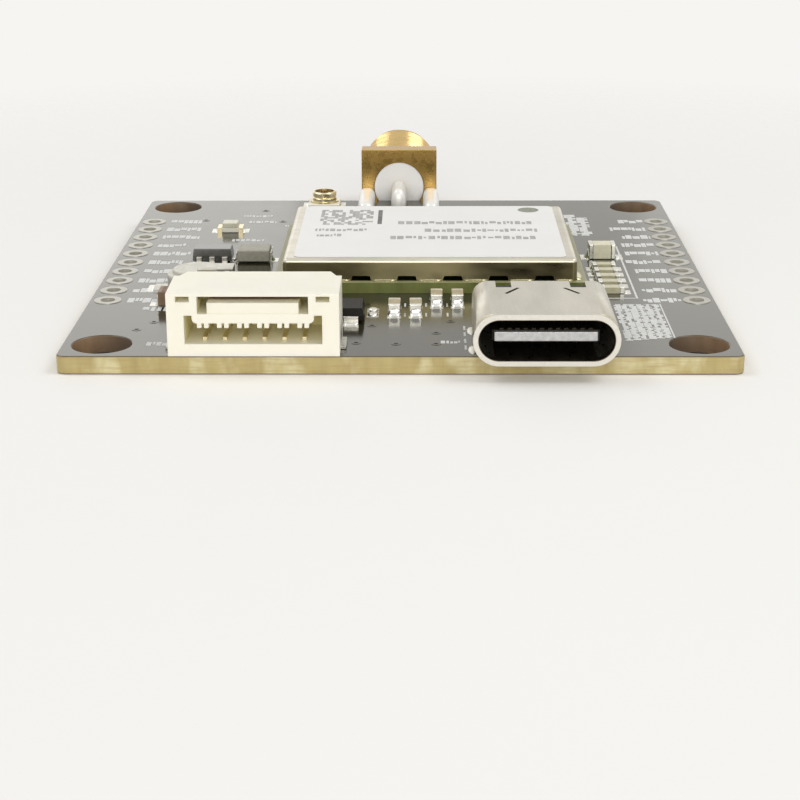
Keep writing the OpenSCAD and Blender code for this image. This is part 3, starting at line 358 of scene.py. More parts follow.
def ivory_look():
    """Ivory nylon, with a painted honey-coloured glow inside the socket's mouth for the light that
    the nylon lets through, and a painted shadow in the latch window.
    """
    look = Look("ivory_nylon", ior=1.5, subsurface_weight=0.3, subsurface_scale=1.0,
                subsurface_radius=(0.45 * MM, 0.45 * MM, 0.43 * MM))
    fine = look.noise(0.5)
    nylon = look.tones(look.noise(2.2, 4.0), (0.95, 0.91, 0.775), (0.965, 0.93, 0.81))
    side, depth = look.away("X", DATA_X), look.axis("Y")
    inside = look.both(look.below(side, MOUTH_X), look.below(look.away("Z", MOUTH_Z), MOUTH_HALF_Z))
    inside = look.both(inside, look.below(depth, MOUTH_END_Y))
    # Painted glow: honey colour deeper in the mouth, strongest on the side walls
    deep = look.both(inside, look.ramp(depth, GLOW_Y))
    walls = look.math("SUBTRACT", 1.0, look.math("MULTIPLY", look.upright(), 0.7))
    painted_glow = look.mix(look.both(deep, walls), nylon, (0.99, 0.90, 0.50))
    # Painted shadow: dark brown at the back of the latch window
    window = look.both(look.both(inside, look.below(side, WINDOW_X)),
                       look.above(look.axis("Z"), WINDOW_Z))
    window = look.both(window, look.ramp(depth, WINDOW_SHADOW_Y))
    look.colour(look.mix(window, painted_glow, (0.30, 0.17, 0.06)))
    look.roughness(look.remap(fine, 0.36, 0.48))
    look.bump(fine, 0.002)
    return look.mat


def shield_look():
    """Rolled tin plate, painted duller and browner on the walls than on the roof: painted shade for
    the dark board that the walls mirror.
    """
    look = Look("tinned_shield", metal=1.0)
    tone = look.noise(2.4, 4.0, (0.3, 1, 1))
    fine = look.noise(0.5, 3.0, (0.3, 1, 1))
    roof = look.tones(tone, (0.54, 0.51, 0.42), (0.68, 0.65, 0.57))
    # Painted shade: the same tin, darker and browner on the walls
    shaded_wall = look.tones(tone, (0.18, 0.155, 0.08), (0.29, 0.255, 0.145))
    look.colour(look.mix(look.upright(0.08, 0.3), shaded_wall, roof))
    look.roughness(look.remap(fine, 0.26, 0.38))
    look.bump(fine, 0.0015)
    return look.mat


def eyelet_look():
    """Dull tin on the rings; the bores are painted paler, as painted light in the deep bores."""
    look = Look("eyelet_tin", metal=0.75)
    tone = look.noise(0.5, 4.0)
    ring = look.tones(tone, (0.36, 0.35, 0.31), (0.52, 0.51, 0.46))
    # Painted light: the bores get a pale colour
    look.colour(look.mix(look.upright(), (0.76, 0.74, 0.68), ring))
    look.roughness(look.remap(tone, 0.28, 0.44))
    look.bump(look.noise(0.12), 0.006)
    return look.mat


# One look a slot of the record
LOOKS = {
    "mask": board_look(),
    "steel": shell_look(),
    "green_board": receiver_board_look(),
    "tin": plain_look("tin_plate", (0.76, 0.75, 0.70), (0.60, 0.585, 0.53),
                      0.7, (0.24, 0.42), 0.006, metal=1.0),
    "ivory": ivory_look(),
    "black_plastic": plain_look("black_epoxy", (0.015, 0.013, 0.010), (0.008, 0.007, 0.005),
                                0.5, (0.42, 0.56), 0.002, ior=1.3, specular_ior_level=0.4),
    "gold": plain_look("gold_plate", (0.54, 0.35, 0.115), (0.48, 0.305, 0.095),
                       2.6, (0.24, 0.31), 0.0002, metal=1.0),
    "ptfe": plain_look("white_ptfe", (0.97, 0.965, 0.955), (0.94, 0.935, 0.925),
                       1.5, (0.42, 0.55), 0.004, ior=1.38, subsurface_weight=0.15,
                       subsurface_radius=(0.5 * MM, 0.5 * MM, 0.4 * MM), subsurface_scale=1.0),
    "solder": plain_look("solder", (0.86, 0.86, 0.84), (0.72, 0.72, 0.69),
                         0.6, (0.14, 0.28), 0.008, metal=1.0),
    "shield": shield_look(),
    "label": plain_look("label_film", (0.89, 0.89, 0.885), (0.865, 0.865, 0.86),
                        3.0, (0.40, 0.52), 0.002),
    "ceramic_tan": plain_look("tan_ceramic", (0.52, 0.44, 0.29), (0.40, 0.33, 0.20),
                              0.5, (0.4, 0.6), 0.006),
    "ceramic_pale": plain_look("pale_ceramic", (0.64, 0.61, 0.42), (0.52, 0.49, 0.32),
                               0.5, (0.16, 0.28), 0.004),
    # The ferrite's grey is lighter than bare ferrite: partly a painted sheen for the glancing
    # reflection on its top
    "ferrite": plain_look("ferrite", (0.42, 0.405, 0.34), (0.31, 0.30, 0.25),
                          0.25, (0.4, 0.6), 0.01),
    "tantalum": plain_look("tantalum_case", (0.27, 0.18, 0.10), (0.19, 0.12, 0.065),
                           0.8, (0.35, 0.5), 0.005),
    "lens": plain_look("light_lens", (0.86, 0.84, 0.70), (0.78, 0.75, 0.58),
                       0.6, (0.18, 0.3), 0.003, ior=1.45, transmission_weight=0.25),
}

# Looks of single nodes that differ from their slot's
CELL_STEEL = plain_look("cell_steel", (0.52, 0.505, 0.45), (0.41, 0.40, 0.35),
                        1.2, (0.28, 0.42), 0.004, metal=1.0)
PALE_GOLD = plain_look("pale_gold", (0.80, 0.72, 0.50), (0.68, 0.58, 0.36),
                       0.6, (0.2, 0.3), 0.002, metal=1.0)
EYELET = eyelet_look()
NODE_LOOKS = {
    "usb_mid_plate": plain_look("bright_plate", (0.62, 0.62, 0.62), (0.46, 0.46, 0.46),
                                0.3, (0.35, 0.5), 0.01, metal=0.6),
    # Painted shade: the contacts inside the USB shell are made near black
    "usb_contacts": plain_look("shaded_gold", (0.05, 0.042, 0.03), (0.03, 0.026, 0.02),
                               0.3, (0.4, 0.55), 0.006, metal=1.0),
    "regulator_body": plain_look("gloss_epoxy", (0.07, 0.068, 0.06), (0.05, 0.048, 0.042),
                                 0.5, (0.12, 0.2), 0.001, ior=1.75),
    # Painted shade: the socket's anchors are darker than plain tin
    "data_socket_anchors": plain_look("shaded_tin", (0.52, 0.51, 0.46), (0.36, 0.35, 0.31),
                                      0.5, (0.26, 0.42), 0.008, metal=1.0),
    "data_socket_contacts": plain_look("worn_brass", (0.88, 0.79, 0.54), (0.76, 0.66, 0.40),
                                       0.5, (0.3, 0.45), 0.003, metal=1.0),
    "bulk_capacitor_body": plain_look("cream_ceramic", (0.82, 0.79, 0.62), (0.70, 0.67, 0.50),
                                      0.5, (0.35, 0.5), 0.005),
    "header_eyelets_left": EYELET,
    "header_eyelets_right": EYELET,
    "coax_socket_ring": PALE_GOLD,
    "status_light_ends": PALE_GOLD,
    "backup_cell_can": CELL_STEEL,
    "backup_cell_tabs": CELL_STEEL,
    "receiver_oscillator": CELL_STEEL,
}

# Looks of the added pieces
SATIN_SOLDER = plain_look("satin_solder", (0.92, 0.92, 0.90), (0.84, 0.84, 0.81),
                          0.7, (0.34, 0.46), 0.002, metal=0.35)
# Painted highlight: the thread gets a paler gold than the flange's same plating
BRIGHTENED_THREAD_GOLD = plain_look("thread_gold_painted_highlight", (0.68, 0.50, 0.23), (0.60, 0.42, 0.17),
                         2.6, (0.17, 0.23), 0.0002, metal=1.0)
FOOT_SOLDER = plain_look("foot_solder", (0.66, 0.62, 0.42), (0.46, 0.42, 0.24),
                         0.5, (0.2, 0.34), 0.006, metal=1.0)
INK = plain_look("white_ink", (0.80, 0.81, 0.81), (0.66, 0.67, 0.67), 0.3, (0.45, 0.65), 0.006)
GREY_INK = plain_look("grey_ink", (0.50, 0.50, 0.50), (0.34, 0.34, 0.34), 0.35, (0.5, 0.65), 0.003)
DARK_INK = plain_look("dark_ink", (0.20, 0.20, 0.20), (0.10, 0.10, 0.10), 0.35, (0.5, 0.65), 0.003)
DOT_INK = plain_look("dot_ink", (0.30, 0.31, 0.25), (0.20, 0.21, 0.16), 0.4, (0.4, 0.55), 0.004)
BAND_INK = plain_look("band_ink", (0.17, 0.08, 0.03), (0.11, 0.05, 0.02), 0.4, (0.4, 0.55), 0.004)
# Painted shade: near-black discs stand for the dark via bores
VIA_SHADE = plain_look("via_painted_shade", (0.012, 0.012, 0.010), (0.008, 0.008, 0.008),
                    0.2, (0.5, 0.7), 0.004)

SLOT_NODES = {
    "mask": ["circuit_board"],
    "tin": ["header_eyelets_left", "header_eyelets_right", "data_socket_anchors", "diode_leads",
            "regulator_leads", "inductor_terminals", "tantalum_terminals", "chip_capacitor_ends",
            "chip_resistor_ends", "bulk_capacitor_ends"],
    "ivory": ["data_socket_housing", "coax_socket_base", "status_light_base"],
    "steel": ["usb_shell", "usb_mid_plate", "backup_cell_can", "backup_cell_tabs",
              "receiver_oscillator"],
    "black_plastic": ["usb_insulator", "diode_body", "regulator_body", "receiver_chip",
                      "receiver_memory", "receiver_amplifier"],
    "gold": ["data_socket_contacts", "usb_contacts", "antenna_socket_body", "antenna_socket_pin",
             "coax_socket_ring", "coax_socket_pin", "status_light_ends"],
    "ptfe": ["antenna_socket_insulator", "receiver_filters"],
    "solder": ["antenna_solder"],
    "green_board": ["receiver_board"],
    "shield": ["receiver_shield"],
    "label": ["receiver_label"],
    "ceramic_tan": [f"chip_capacitor_{i}" for i in range(1, 5)] + ["bulk_capacitor_body"],
    "ceramic_pale": [f"chip_resistor_{i}" for i in range(1, 6)],
    "ferrite": ["inductor_body"],
    "tantalum": ["tantalum_body"],
    "lens": ["status_light_lens"],
}
# Rounding of the edges of CAD nodes, in millimetres
EDGE = {
    "circuit_board": 0.1, "data_socket_housing": 0.05, "usb_shell": 0.05, "usb_insulator": 0.03,
    "usb_mid_plate": 0.06, "diode_body": 0.05, "regulator_body": 0.05,
    "chip_capacitor_ends": 0.07, "chip_resistor_ends": 0.05, "bulk_capacitor_ends": 0.08,
    "bulk_capacitor_body": 0.04, "inductor_body": 0.1, "tantalum_body": 0.06,
    "backup_cell_can": 0.1, "status_light_lens": 0.06, "status_light_base": 0.03,
    "coax_socket_base": 0.05, "antenna_socket_pin": 0.04, "receiver_board": 0.02,
    "diode_leads": 0.04, "regulator_leads": 0.04, "data_socket_anchors": 0.05,
    "inductor_terminals": 0.03, "tantalum_terminals": 0.03, "backup_cell_tabs": 0.04,
    "receiver_label": 0.015,
}
JOIN = 1e-7


def dress_nodes():
    for slot, names in SLOT_NODES.items():
        for name in names:
            mesh = NODES[name].data
            mesh.materials.clear()
            mesh.materials.append(NODE_LOOKS.get(name, LOOKS[slot]))
    for name, width in EDGE.items():
        soften(NODES[name], width, name != "circuit_board")
    weld(NODES["receiver_shield"])


def weld(obj):
    """Joins coincident points, which removes triangles without area."""
    made = obj.modifiers.new("weld", "WELD")
    made.merge_threshold = JOIN


def soften(obj, width, clamp=True):
    """Rounds an object's sharp edges without touching its own mesh."""
    weld(obj)
    flat = obj.modifiers.new("flat", "DECIMATE")
    flat.decimate_type = "DISSOLVE"
    flat.angle_limit = math.radians(0.4)
    bevel = obj.modifiers.new("edge", "BEVEL")
    bevel.width = width * MM
    bevel.segments = 2
    bevel.limit_method = "ANGLE"
    bevel.angle_limit = math.radians(35)
    bevel.use_clamp_overlap = clamp
    bevel.harden_normals = True


# Pieces
def piece(name, verts, faces, look, smooth=False):
    """A new piece from points in millimetres; it rides on the part."""
    mesh = bpy.data.meshes.new(name)
    mesh.from_pydata([Vector(v) * MM for v in verts], [], faces)
    mesh.update()
    mesh.materials.append(look)
    obj = bpy.data.objects.new(name, mesh)
    bpy.context.scene.collection.objects.link(obj)
    if smooth:
        for face in mesh.polygons:
            face.use_smooth = True
    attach(obj, "root")
    return obj


def circle(n):
    """The cosine and sine of n even steps around a circle."""
    return [(math.cos(2 * math.pi * i / n), math.sin(2 * math.pi * i / n)) for i in range(n)]


class Build:
    """Collects closed shapes for one piece."""

    def __init__(self):
        self.verts, self.faces = [], []

    def prism(self, outline, z0, z1):
        """A flat outline, counter-clockwise, raised from z0 to z1."""
        n, base = len(outline), len(self.verts)
        self.verts += [(x, y, z) for z in (z0, z1) for x, y in outline]
        self.faces.append(tuple(base + i for i in reversed(range(n))))
        self.faces.append(tuple(base + n + i for i in range(n)))
        for i in range(n):
            j = (i + 1) % n
            self.faces.append((base + i, base + j, base + n + j, base + n + i))

    def bar(self, x0, y0, x1, y1, z0, z1):
        self.prism([(x0, y0), (x1, y0), (x1, y1), (x0, y1)], z0, z1)

    def disc(self, x, y, r, z0, z1, n):
        self.prism([(x + r * c, y + r * s) for c, s in circle(n)], z0, z1)

    def ring(self, x, y, inner, outer, z0, z1):
        n, base = 24, len(self.verts)
        for c, s in circle(n):
            for r, z in ((inner, z0), (outer, z0), (outer, z1), (inner, z1)):
                self.verts.append((x + r * c, y + r * s, z))
        for i in range(n):
            a, b = base + 4 * i, base + 4 * ((i + 1) % n)
            for k in range(4):
                m = (k + 1) % 4
                self.faces.append((a + k, b + k, b + m, a + m))

    def fillet(self, x, y, out, half, high, reach, z=BOARD_TOP):
        """A solder fillet on an upright face: out is the way it runs, half its half width."""
        ox, oy = out
        sx, sy = -oy, ox
        steps, rows, hollow, taper = 6, 5, 1.7, 0.35
        base = len(self.verts)
        for r in range(rows):
            side = -1 + 2 * r / (rows - 1)
            swell = 1 - taper * side * side
            wx, wy = x + sx * half * side, y + sy * half * side
            for i in range(steps + 1):
                t = i / steps
                d = reach * swell * (1 - t) ** hollow
                self.verts.append((wx + ox * d, wy + oy * d, z + high * swell * t ** hollow))
            self.verts.append((wx, wy, z))
        wide = steps + 2
        for r in range(rows - 1):
            a, b = base + r * wide, base + (r + 1) * wide
            for i in range(wide):
                j = (i + 1) % wide
                self.faces.append((a + i, b + i, b + j, a + j))
        self.faces.append(tuple(base + i for i in range(wide)))
        self.faces.append(tuple(base + (rows - 1) * wide + i for i in reversed(range(wide))))

    def mound(self, x, y0, y1, half, high):
        """A smooth mound of solder on the board that rises steeply from y0 and runs to y1."""
        steps, arc, base = 24, 16, len(self.verts)
        crowd, steep, least, round_x, round_z = 1.6, 16, 0.06, 0.75, 0.65
        for i in range(steps + 1):
            t = (i / steps) ** crowd
            swell = max(least, math.sqrt(1 - (1 - t) ** steep))
            for k in range(arc + 1):
                c, u = math.cos(math.pi * k / arc), math.sin(math.pi * k / arc)
                wide = math.copysign(half * swell * abs(c) ** round_x, c)
                lift = high * swell * max(0.0, u) ** round_z
                self.verts.append((x + wide, y0 + (y1 - y0) * t, BOARD_TOP + lift))
        row = arc + 1
        for i in range(steps):
            a, b = base + i * row, base + (i + 1) * row
            for k in range(row):
                m = (k + 1) % row
                self.faces.append((a + k, b + k, b + m, a + m))
        self.faces.append(tuple(base + k for k in range(row)))
        self.faces.append(tuple(base + steps * row + k for k in reversed(range(row))))

    def dome(self, x, y, half_x, half_y, high, z=BOARD_TOP):
        """A smooth oval dome of solder."""
        around, rings, base = 20, 6, len(self.verts)
        for i in range(rings):
            lift = math.sin(math.pi / 2 * i / rings)
            wide = math.cos(math.pi / 2 * i / rings)
            for c, s in circle(around):
                self.verts.append((x + half_x * wide * c, y + half_y * wide * s, z + high * lift))
        top = len(self.verts)
        self.verts.append((x, y, z + high))
        self.faces.append(tuple(base + k for k in reversed(range(around))))
        for k in range(around):
            m = (k + 1) % around
            for i in range(rings - 1):
                a, b = base + i * around, base + (i + 1) * around
                self.faces.append((a + k, a + m, b + m, b + k))
            last = base + (rings - 1) * around
            self.faces.append((last + k, last + m, top))

    def make(self, name, look, slot=None, smooth=False):
        return piece(name, self.verts, self.faces, look, smooth)


# Print: plain bars that stand in for lines of print, at the places the photo shows
INK_T, LABEL_INK_T = 0.014, 0.006
PLAIN_WEIGHT = 0.62
PIN_PITCH, PIN_FIRST = 2.54, -9.03
PIN_PRINT_X, PIN_PRINT_H, PIN_WEIGHT = 18.95, 1.1, 1.5
LEFT_LENGTHS = (1.9, 2.1, 1.8, 2.2, 2.0, 2.3, 1.6, 2.4, 2.2, 2.0)
RIGHT_LENGTHS = (2.3, 2.1, 2.0, 2.0, 2.4, 2.2, 2.2, 1.9, 2.6, 1.7)
# Left, front, right, rear
RULES_RIGHT = ((16.22, -8.6, 16.36, 5.9), (13.4, -8.6, 16.2, -8.46), (13.06, -7.6, 13.22, 10.0))
RULE_LEFT = (-9.3, -7.6, -9.16, 10.0)
BLOCK_RULE = (17.62, -17.7, 17.72, -9.9)
CAPACITOR_TICK_XS, TICK_HALF = (0.25, 1.68, 3.12), 0.06
# Left, front, length and height of short lines
FRONT_LINES = ((2.6, -18.9, 1.35, 0.55), (-16.2, -19.4, 1.3, 0.75))
REAR_LINES = ((-13.2, 15.4, 2.4, 0.7), (-12.6, 13.4, 2.2, 0.7), (-9.6, 12.2, 1.6, 0.7),
              (-13.4, 7.4, 2.6, 0.7), (-12.0, 5.2, 2.0, 0.7))
VIAS = (
    (-2.81, -18.79), (-0.25, -19.0), (2.32, -16.63), (2.3, -19.0), (-16.4, -14.2), (-17.3, -15.9),
    (-1.9, -15.0), (3.3, -14.0), (-11.5, -1.5), (-16.2, 14.4), (-9.9, 14.0), (-4.2, 12.6),
    (3.4, 13.6), (6.6, 12.2), (9.8, 14.2), (12.2, 12.4), (6.2, 17.4), (10.4, 18.2), (-11.6, 17.8),
)
VIA_BORE, VIA_RING = 0.15, 0.30
# Left, right, front, rear, columns and rows of the block of squares on the label
CODE_BOX, CODE_GRID, CODE_SHARE, CODE_FILL = (-6.3, -2.3, 2.8, 7.6), (15, 12), 0.52, 0.96
CODE_EDGE = (-1.95, 3.0, -1.62, 7.5)
# Front, left and right of the label's lines, and their height
LABEL_LINES = ((2.95, -0.4, 9.6, 0.95), (0.6, 1.6, 9.9, 0.95), (-1.6, -0.9, 9.7, 0.95),
               (0.85, -6.5, -2.7, 0.75), (-0.75, -6.3, -4.4, 0.75))
LABEL_DOT = (9.59, 7.56, 0.8)


def greeked(build, rng, x, y, length, height, z, thick, turned=False, weight=PLAIN_WEIGHT):
    """A line of plain upright bars; a greater weight narrows the gaps between them."""
    at = 0.0
    while at < length - 0.1 * height:
        wide = height * rng.choice((0.2, 0.3, 0.42, 0.5))
        low = rng.choice((0.0, 0.0, 0.3)) * height
        tall = height - low - rng.choice((0.0, 0.0, 0.28)) * height
        wide = min(wide, length - at)
        if turned:
            build.bar(x - low - tall, y + at, x - low, y + at + wide, z, z + thick)
        else:
            build.bar(x + at, y + low, x + at + wide, y + low + tall, z, z + thick)
        at += wide + height * rng.uniform(0.08, 0.18) / weight * PLAIN_WEIGHT


def silkscreen():
    rng = random.Random(7)
    ink = Build()
    z, t = BOARD_TOP, INK_T

    def line(x, y, length, height, turned=False, weight=PLAIN_WEIGHT):
        greeked(ink, rng, x, y, length, height, z, t, turned, weight)

    for i, (left, right) in enumerate(zip(LEFT_LENGTHS, RIGHT_LENGTHS)):
        y = PIN_FIRST + PIN_PITCH * i - PIN_PRINT_H / 2
        line(-PIN_PRINT_X, y, left + 0.5, PIN_PRINT_H, weight=PIN_WEIGHT)
        line(PIN_PRINT_X - right, y, right + 0.3, PIN_PRINT_H, weight=PIN_WEIGHT)
    line(-17.6, -11.6, 1.9, 0.9)
    # The dense block to the right of the USB socket
    for k in range(6):
        line(14.95 + 0.52 * k, -18.3 + 0.12 * k, 8.3 - 0.12 * k, 0.49, True, 1.4)
    ink.bar(*BLOCK_RULE, z, z + t)
    line(14.3, -15.4, 6.6, 0.5, True, 0.9)
    for k in range(2):
        line(13.9 + 0.95 * k, 9.2, 7.0 - k, 0.9, True, 2.5)
    for rule in (*RULES_RIGHT, RULE_LEFT):
        ink.bar(*rule, z, z + t)
    for x in CAPACITOR_TICK_XS:
        for y0, y1 in ((-12.9, -12.1), (-10.6, -9.8)):
            ink.bar(x - TICK_HALF, y0, x + TICK_HALF, y1, z, z + t)
    for y in (-20.2, -18.8, -17.4, -16.0):
        ink.bar(4.1, y, 4.24, y + 0.85, z, z + t)
    for x, y, length, height in (*FRONT_LINES, *REAR_LINES):
        line(x, y, length, height)
    ink.ring(-15.7, 1.8, 0.14, 0.26, z, z + t)
    ink.make("silkscreen", INK)


def vias():
    rings, shade_discs = Build(), Build()
    z = BOARD_TOP
    for x, y in VIAS:
        rings.ring(x, y, VIA_BORE, VIA_RING, z, z + 0.02)
        # Painted shade: a black disc in each via's bore
        shade_discs.disc(x, y, VIA_BORE, z, z + 0.004, 14)
    rings.make("via_rings", LOOKS["mask"], "mask")
    shade_discs.make("via_shade_discs", VIA_SHADE)


def label_print():
    rng = random.Random(19)
    z, t = LABEL_TOP, LABEL_INK_T
    code = Build()
    x0, x1, y0, y1 = CODE_BOX
    columns, rows = CODE_GRID
    w, h = (x1 - x0) / columns, (y1 - y0) / rows
    for c in range(columns):
        for r in range(rows):
            if rng.random() < CODE_SHARE:
                code.bar(x0 + c * w, y0 + r * h, x0 + (c + CODE_FILL) * w,
                         y0 + (r + CODE_FILL) * h, z, z + t)
    code.make("label_code", GREY_INK)
    edge = Build()
    edge.bar(*CODE_EDGE, z, z + t)
    edge.make("label_code_edge", DARK_INK)
    lines = Build()
    for y, left, right, height in LABEL_LINES:
        greeked(lines, rng, left, y, right - left, height, z, t)
    lines.make("label_lines", GREY_INK)
    dot = Build()
    dot.disc(*LABEL_DOT, z, z + t, 32)
    dot.make("label_dot", DOT_INK)


def tantalum_band():
    low, high = (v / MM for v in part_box("tantalum_body"))
    band = Build()
    band.bar(low.x + 0.25, low.y + 0.1, low.x + 0.75, high.y - 0.1, high.z, high.z + 0.01)
    band.make("tantalum_band", BAND_INK)


# Solder: each joint's half width, height and reach in millimetres
PAD_T, PAD_MARGIN, PAD_UNDER, PAD_PAST = 0.025, 0.06, 0.05, 0.12
CHIP_HALF = 0.85
CAPACITOR_JOINT, RESISTOR_JOINT = (0.40, 0.52, 0.42), (0.40, 0.36, 0.32)
# Distance of the end from the middle along x, then the joint
END_JOINTS = {
    "bulk_capacitor_body": (1.0, (0.6, 0.7, 0.45)), "status_light_base": (1.0, (0.55, 0.32, 0.35)),
    "inductor_body": (1.32, (0.46, 0.5, 0.35)), "tantalum_body": (1.72, (0.36, 0.4, 0.4)),
}
DIODE_END, DIODE_JOINT = 1.85, (0.48, 0.14, 0.3)
REGULATOR_END, REGULATOR_PITCH, REGULATOR_JOINT = 1.425, 0.95, (0.2, 0.13, 0.25)
CELL_END, CELL_JOINT = 3.15, (0.78, 0.14, 0.35)
DATA_JOINT = (0.16, 0.19, 0.4)
COAX_HALF, COAX_SIDE_JOINT, COAX_FRONT_JOINT = 1.3, (0.95, 0.2, 0.35), (0.4, 0.18, 0.35)
USB_JOINT = (0.12, 0.1, 0.22)
# Half width, half depth and height of the domes over the USB shell's tabs and on the bare pads
TAB_DOME, SPARE_DOME = (0.32, 0.85, 0.12), (0.38, 0.40, 0.2)
SPARE_X, SPARE_YS, SPARE_HALF_X, SPARE_HALF_Y = -1.9, (-12.6, -11.5), 0.4, 0.42


def centre(node):
    low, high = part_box(node)
    return [(a + b) / 2 / MM for a, b in zip(low, high)]


def solder_joints():
    """A fillet and a pad at each soldered end, domes at the USB tabs, and two bare pads."""
    joint, pad = Build(), Build()
    z, t = BOARD_TOP, PAD_T

    def end(x, y, out, sizes):
        half, high, reach = sizes
        joint.fillet(x, y, out, half, high, reach)
        ox, oy = out
        xs = sorted((x - PAD_UNDER * ox, x + (reach + PAD_PAST) * ox))
        ys = sorted((y - PAD_UNDER * oy, y + (reach + PAD_PAST) * oy))
        wx, wy = (half + PAD_MARGIN) * abs(oy), (half + PAD_MARGIN) * abs(ox)
        pad.bar(xs[0] - wx, ys[0] - wy, xs[1] + wx, ys[1] + wy, z, z + t)

    for i in range(1, 5):
        x, y, _ = centre(f"chip_capacitor_{i}")
        for s in (-1, 1):
            end(x, y + s * CHIP_HALF, (0, s), CAPACITOR_JOINT)
    for i in range(1, 6):
        x, y, _ = centre(f"chip_resistor_{i}")
        for s in (-1, 1):
            end(x + s * CHIP_HALF, y, (s, 0), RESISTOR_JOINT)
    for node, (far, sizes) in END_JOINTS.items():
        x, y, _ = centre(node)
        for s in (-1, 1):
            end(x + s * far, y, (s, 0), sizes)
    x, y, _ = centre("diode_body")
    for s in (-1, 1):
        end(x, y + s * DIODE_END, (0, s), DIODE_JOINT)
    x, y, _ = centre("regulator_body")
    for s, columns in ((-1, (-1, 0, 1)), (1, (-1, 1))):
        for k in columns:
            end(x + REGULATOR_PITCH * k, y + s * REGULATOR_END, (0, s), REGULATOR_JOINT)
    x, y, _ = centre("backup_cell_can")
    for s in (-1, 1):
        end(x + s * CELL_END, y, (s, 0), CELL_JOINT)
    for k in range(DATA_PINS):
        end(DATA_X + (k - (DATA_PINS - 1) / 2) * DATA_PITCH, DATA_FOOT_Y, (0, 1), DATA_JOINT)
    x, y, _ = centre("coax_socket_base")
    for s in (-1, 1):
        end(x + s * COAX_HALF, y, (s, 0), COAX_SIDE_JOINT)
    end(x, y - COAX_HALF, (0, -1), COAX_FRONT_JOINT)
    for k in range(USB_FEET):
        end(USB_X + (k - (USB_FEET - 1) / 2) * USB_FOOT_PITCH, USB_FOOT_Y, (0, 1), USB_JOINT)
    for s in (-1, 1):
        for y in USB_TAB_YS:
            pad.dome(USB_X + s * USB_TAB_X, y, *TAB_DOME)
    for y in SPARE_YS:
        pad.bar(SPARE_X - SPARE_HALF_X, y - SPARE_HALF_Y,
                SPARE_X + SPARE_HALF_X, y + SPARE_HALF_Y, z, z + t)
        pad.dome(SPARE_X, y, *SPARE_DOME, z + t)
    joint.make("solder_fillets", LOOKS["solder"], "solder", True)
    pad.make("board_pads", LOOKS["tin"], "tin")


def shield_foot():
    """The solder line between the slots at the shield's foot."""
    foot = Build()
    pitch, slot, corner = 3.21, 0.78, 0.3

    def spans(half, slots):
        marks = [(i - (slots - 1) / 2) * pitch + s * slot for i in range(slots) for s in (-1, 1)]
        marks = [corner - half] + marks + [half - corner]
        return [((a + b) / 2, (b - a) / 2) for a, b in zip(marks[0::2], marks[1::2])]

    for at, half in spans(SHIELD_X, 6):
        for s in (-1, 1):
            foot.fillet(RX_X + at, RX_Y + s * SHIELD_Y, (0, s), half, 0.14, 0.26, RX_TOP)
    for at, half in spans(SHIELD_Y, 4):
        for s in (-1, 1):
            foot.fillet(RX_X + s * SHIELD_X, RX_Y + at, (s, 0), half, 0.2, 0.45, RX_TOP)
    foot.make("shield_solder", FOOT_SOLDER, "solder", True)


# The antenna socket's barrel: ends, radii of the thread and of the core under it, pitch
BARREL_Y0, BARREL_Y1 = 24.0, 31.3
CREST, ROOT, CORE, THREAD_PITCH, CHAMFER = 3.175, 2.84, 2.75, 0.7056, 0.35
NEAR = 0.01


def antenna_body():
    """The antenna socket's body, its barrel turned down to the thread's core."""
    mesh = NODES["antenna_socket_body"].data.copy()
    body = bpy.data.objects.new("antenna_socket_turned", mesh)
    bpy.context.scene.collection.objects.link(body)
    bm = bmesh.new()
    bm.from_mesh(mesh)
    bmesh.ops.remove_doubles(bm, verts=bm.verts, dist=JOIN)
    for v in bm.verts:
        dx, dz = v.co.x - ANT_X * MM, v.co.z - ANT_Z * MM
        far = math.hypot(dx, dz)
        if v.co.y > (BARREL_Y0 - NEAR) * MM and far > (CORE + NEAR) * MM:
            v.co.x = ANT_X * MM + dx / far * CORE * MM
            v.co.z = ANT_Z * MM + dz / far * CORE * MM
    bm.to_mesh(mesh)
    bm.free()
    mesh.materials.clear()
    mesh.materials.append(LOOKS["gold"])
    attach(body, "root")
    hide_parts("antenna_socket_body")
    soften(body, 0.06)


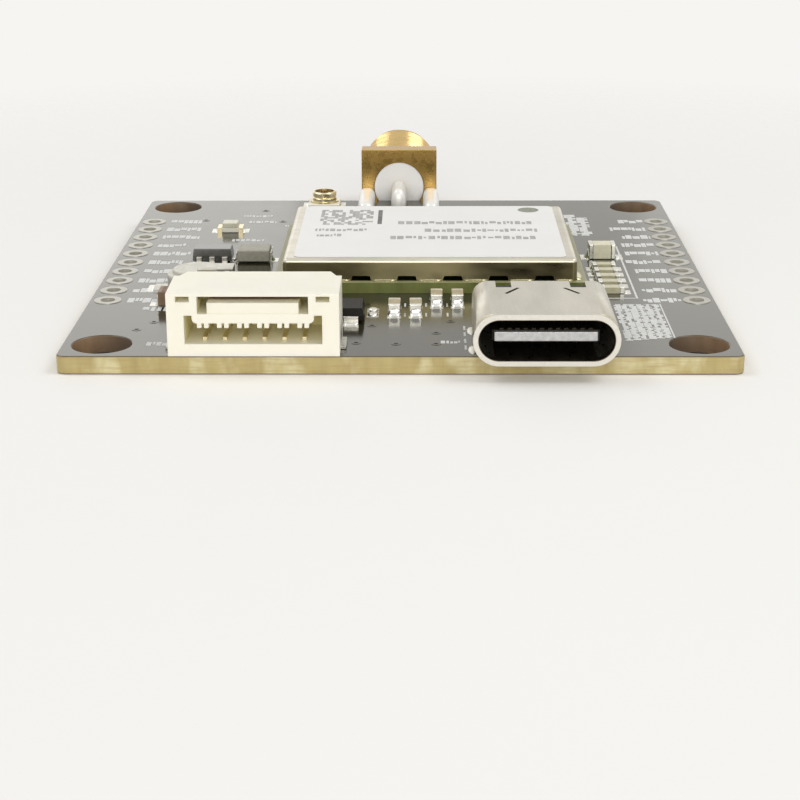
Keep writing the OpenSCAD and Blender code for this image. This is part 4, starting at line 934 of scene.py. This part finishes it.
def antenna_thread():
    """A true thread around the barrel's core, with flats on its crests and roots."""
    around, along = 96, 128
    flat, flank = 0.06, 0.36
    verts, faces = [], []
    turns = [(s, c) for c, s in circle(around)]
    for i in range(along + 1):
        y = BARREL_Y0 + (BARREL_Y1 - BARREL_Y0) * i / along
        limit = min(CREST, CREST - CHAMFER + min(y - BARREL_Y0, BARREL_Y1 - y))
        for k, (across, up) in enumerate(turns):
            phase = ((y - BARREL_Y0) / THREAD_PITCH - k / around) % 1.0
            rise = min(1.0, max(0.0, (abs(phase - 0.5) - flat) / flank))
            r = min(limit, ROOT + (CREST - ROOT) * rise)
            verts.append((ANT_X + r * across, y, ANT_Z + r * up))
    for y in (BARREL_Y0, BARREL_Y1):
        verts += [(ANT_X + CORE * across, y, ANT_Z + CORE * up) for across, up in turns]
    last, inner = along * around, (along + 1) * around
    for k in range(around):
        m = (k + 1) % around
        for i in range(along):
            a, b = i * around, (i + 1) * around
            faces.append((a + k, a + m, b + m, b + k))
        faces.append((inner + k, inner + m, m, k))
        faces.append((last + k, last + m, inner + around + m, inner + around + k))
        faces.append((inner + around + k, inner + around + m, inner + m, inner + k))
    piece("antenna_thread", verts, faces, BRIGHTENED_THREAD_GOLD, True)


def antenna_joints():
    """Solder over the antenna socket's pin tail and upper legs."""
    joint = Build()
    joint.mound(ANT_X, 17.6, 21.15, 0.64, 1.8)
    for s in (-1, 1):
        joint.mound(ANT_X + s * 2.7, 16.0, 21.6, 0.68, 1.1)
    obj = joint.make("antenna_joints", SATIN_SOLDER, "solder", True)
    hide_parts("antenna_solder")


def make_floor():
    """A pale floor in the plane that the part rests on: its front edge and its lower legs."""
    slope = LEG_LOW / (LEG_Y + BOARD_HALF)
    half, drop, fade = 1500.0, 0.002, (45, 115)
    verts = [(x, y, slope * (y + BOARD_HALF) - drop) for x, y in
             ((-half, -half), (half, -half), (half, half), (-half, half))]
    mesh = bpy.data.meshes.new("floor")
    mesh.from_pydata([Vector(v) * MM for v in verts], [], [(0, 1, 2, 3)])
    look = Look("pale_floor", rough=0.75)
    look.colour(look.tones(look.noise(60.0), (0.955, 0.955, 0.955), (0.97, 0.97, 0.97)))
    far = look.node("ShaderNodeVectorMath", operation="LENGTH")
    look.link(look.coord, far.inputs[0])
    seen = look.remap(far.outputs["Value"], 1, 0, fade[0] * MM, fade[1] * MM)
    look.link(seen, look.bsdf.inputs["Alpha"])
    mesh.materials.append(look.mat)
    floor = bpy.data.objects.new("floor", mesh)
    bpy.context.scene.collection.objects.link(floor)


make_camera()
make_world()
for lamp in LAMPS:
    area_lamp(*lamp)
bpy.context.scene.view_settings.view_transform = "Standard"
dress_nodes()
silkscreen()
vias()
label_print()
solder_joints()
shield_foot()
antenna_body()
antenna_thread()
antenna_joints()
tantalum_band()
make_floor()
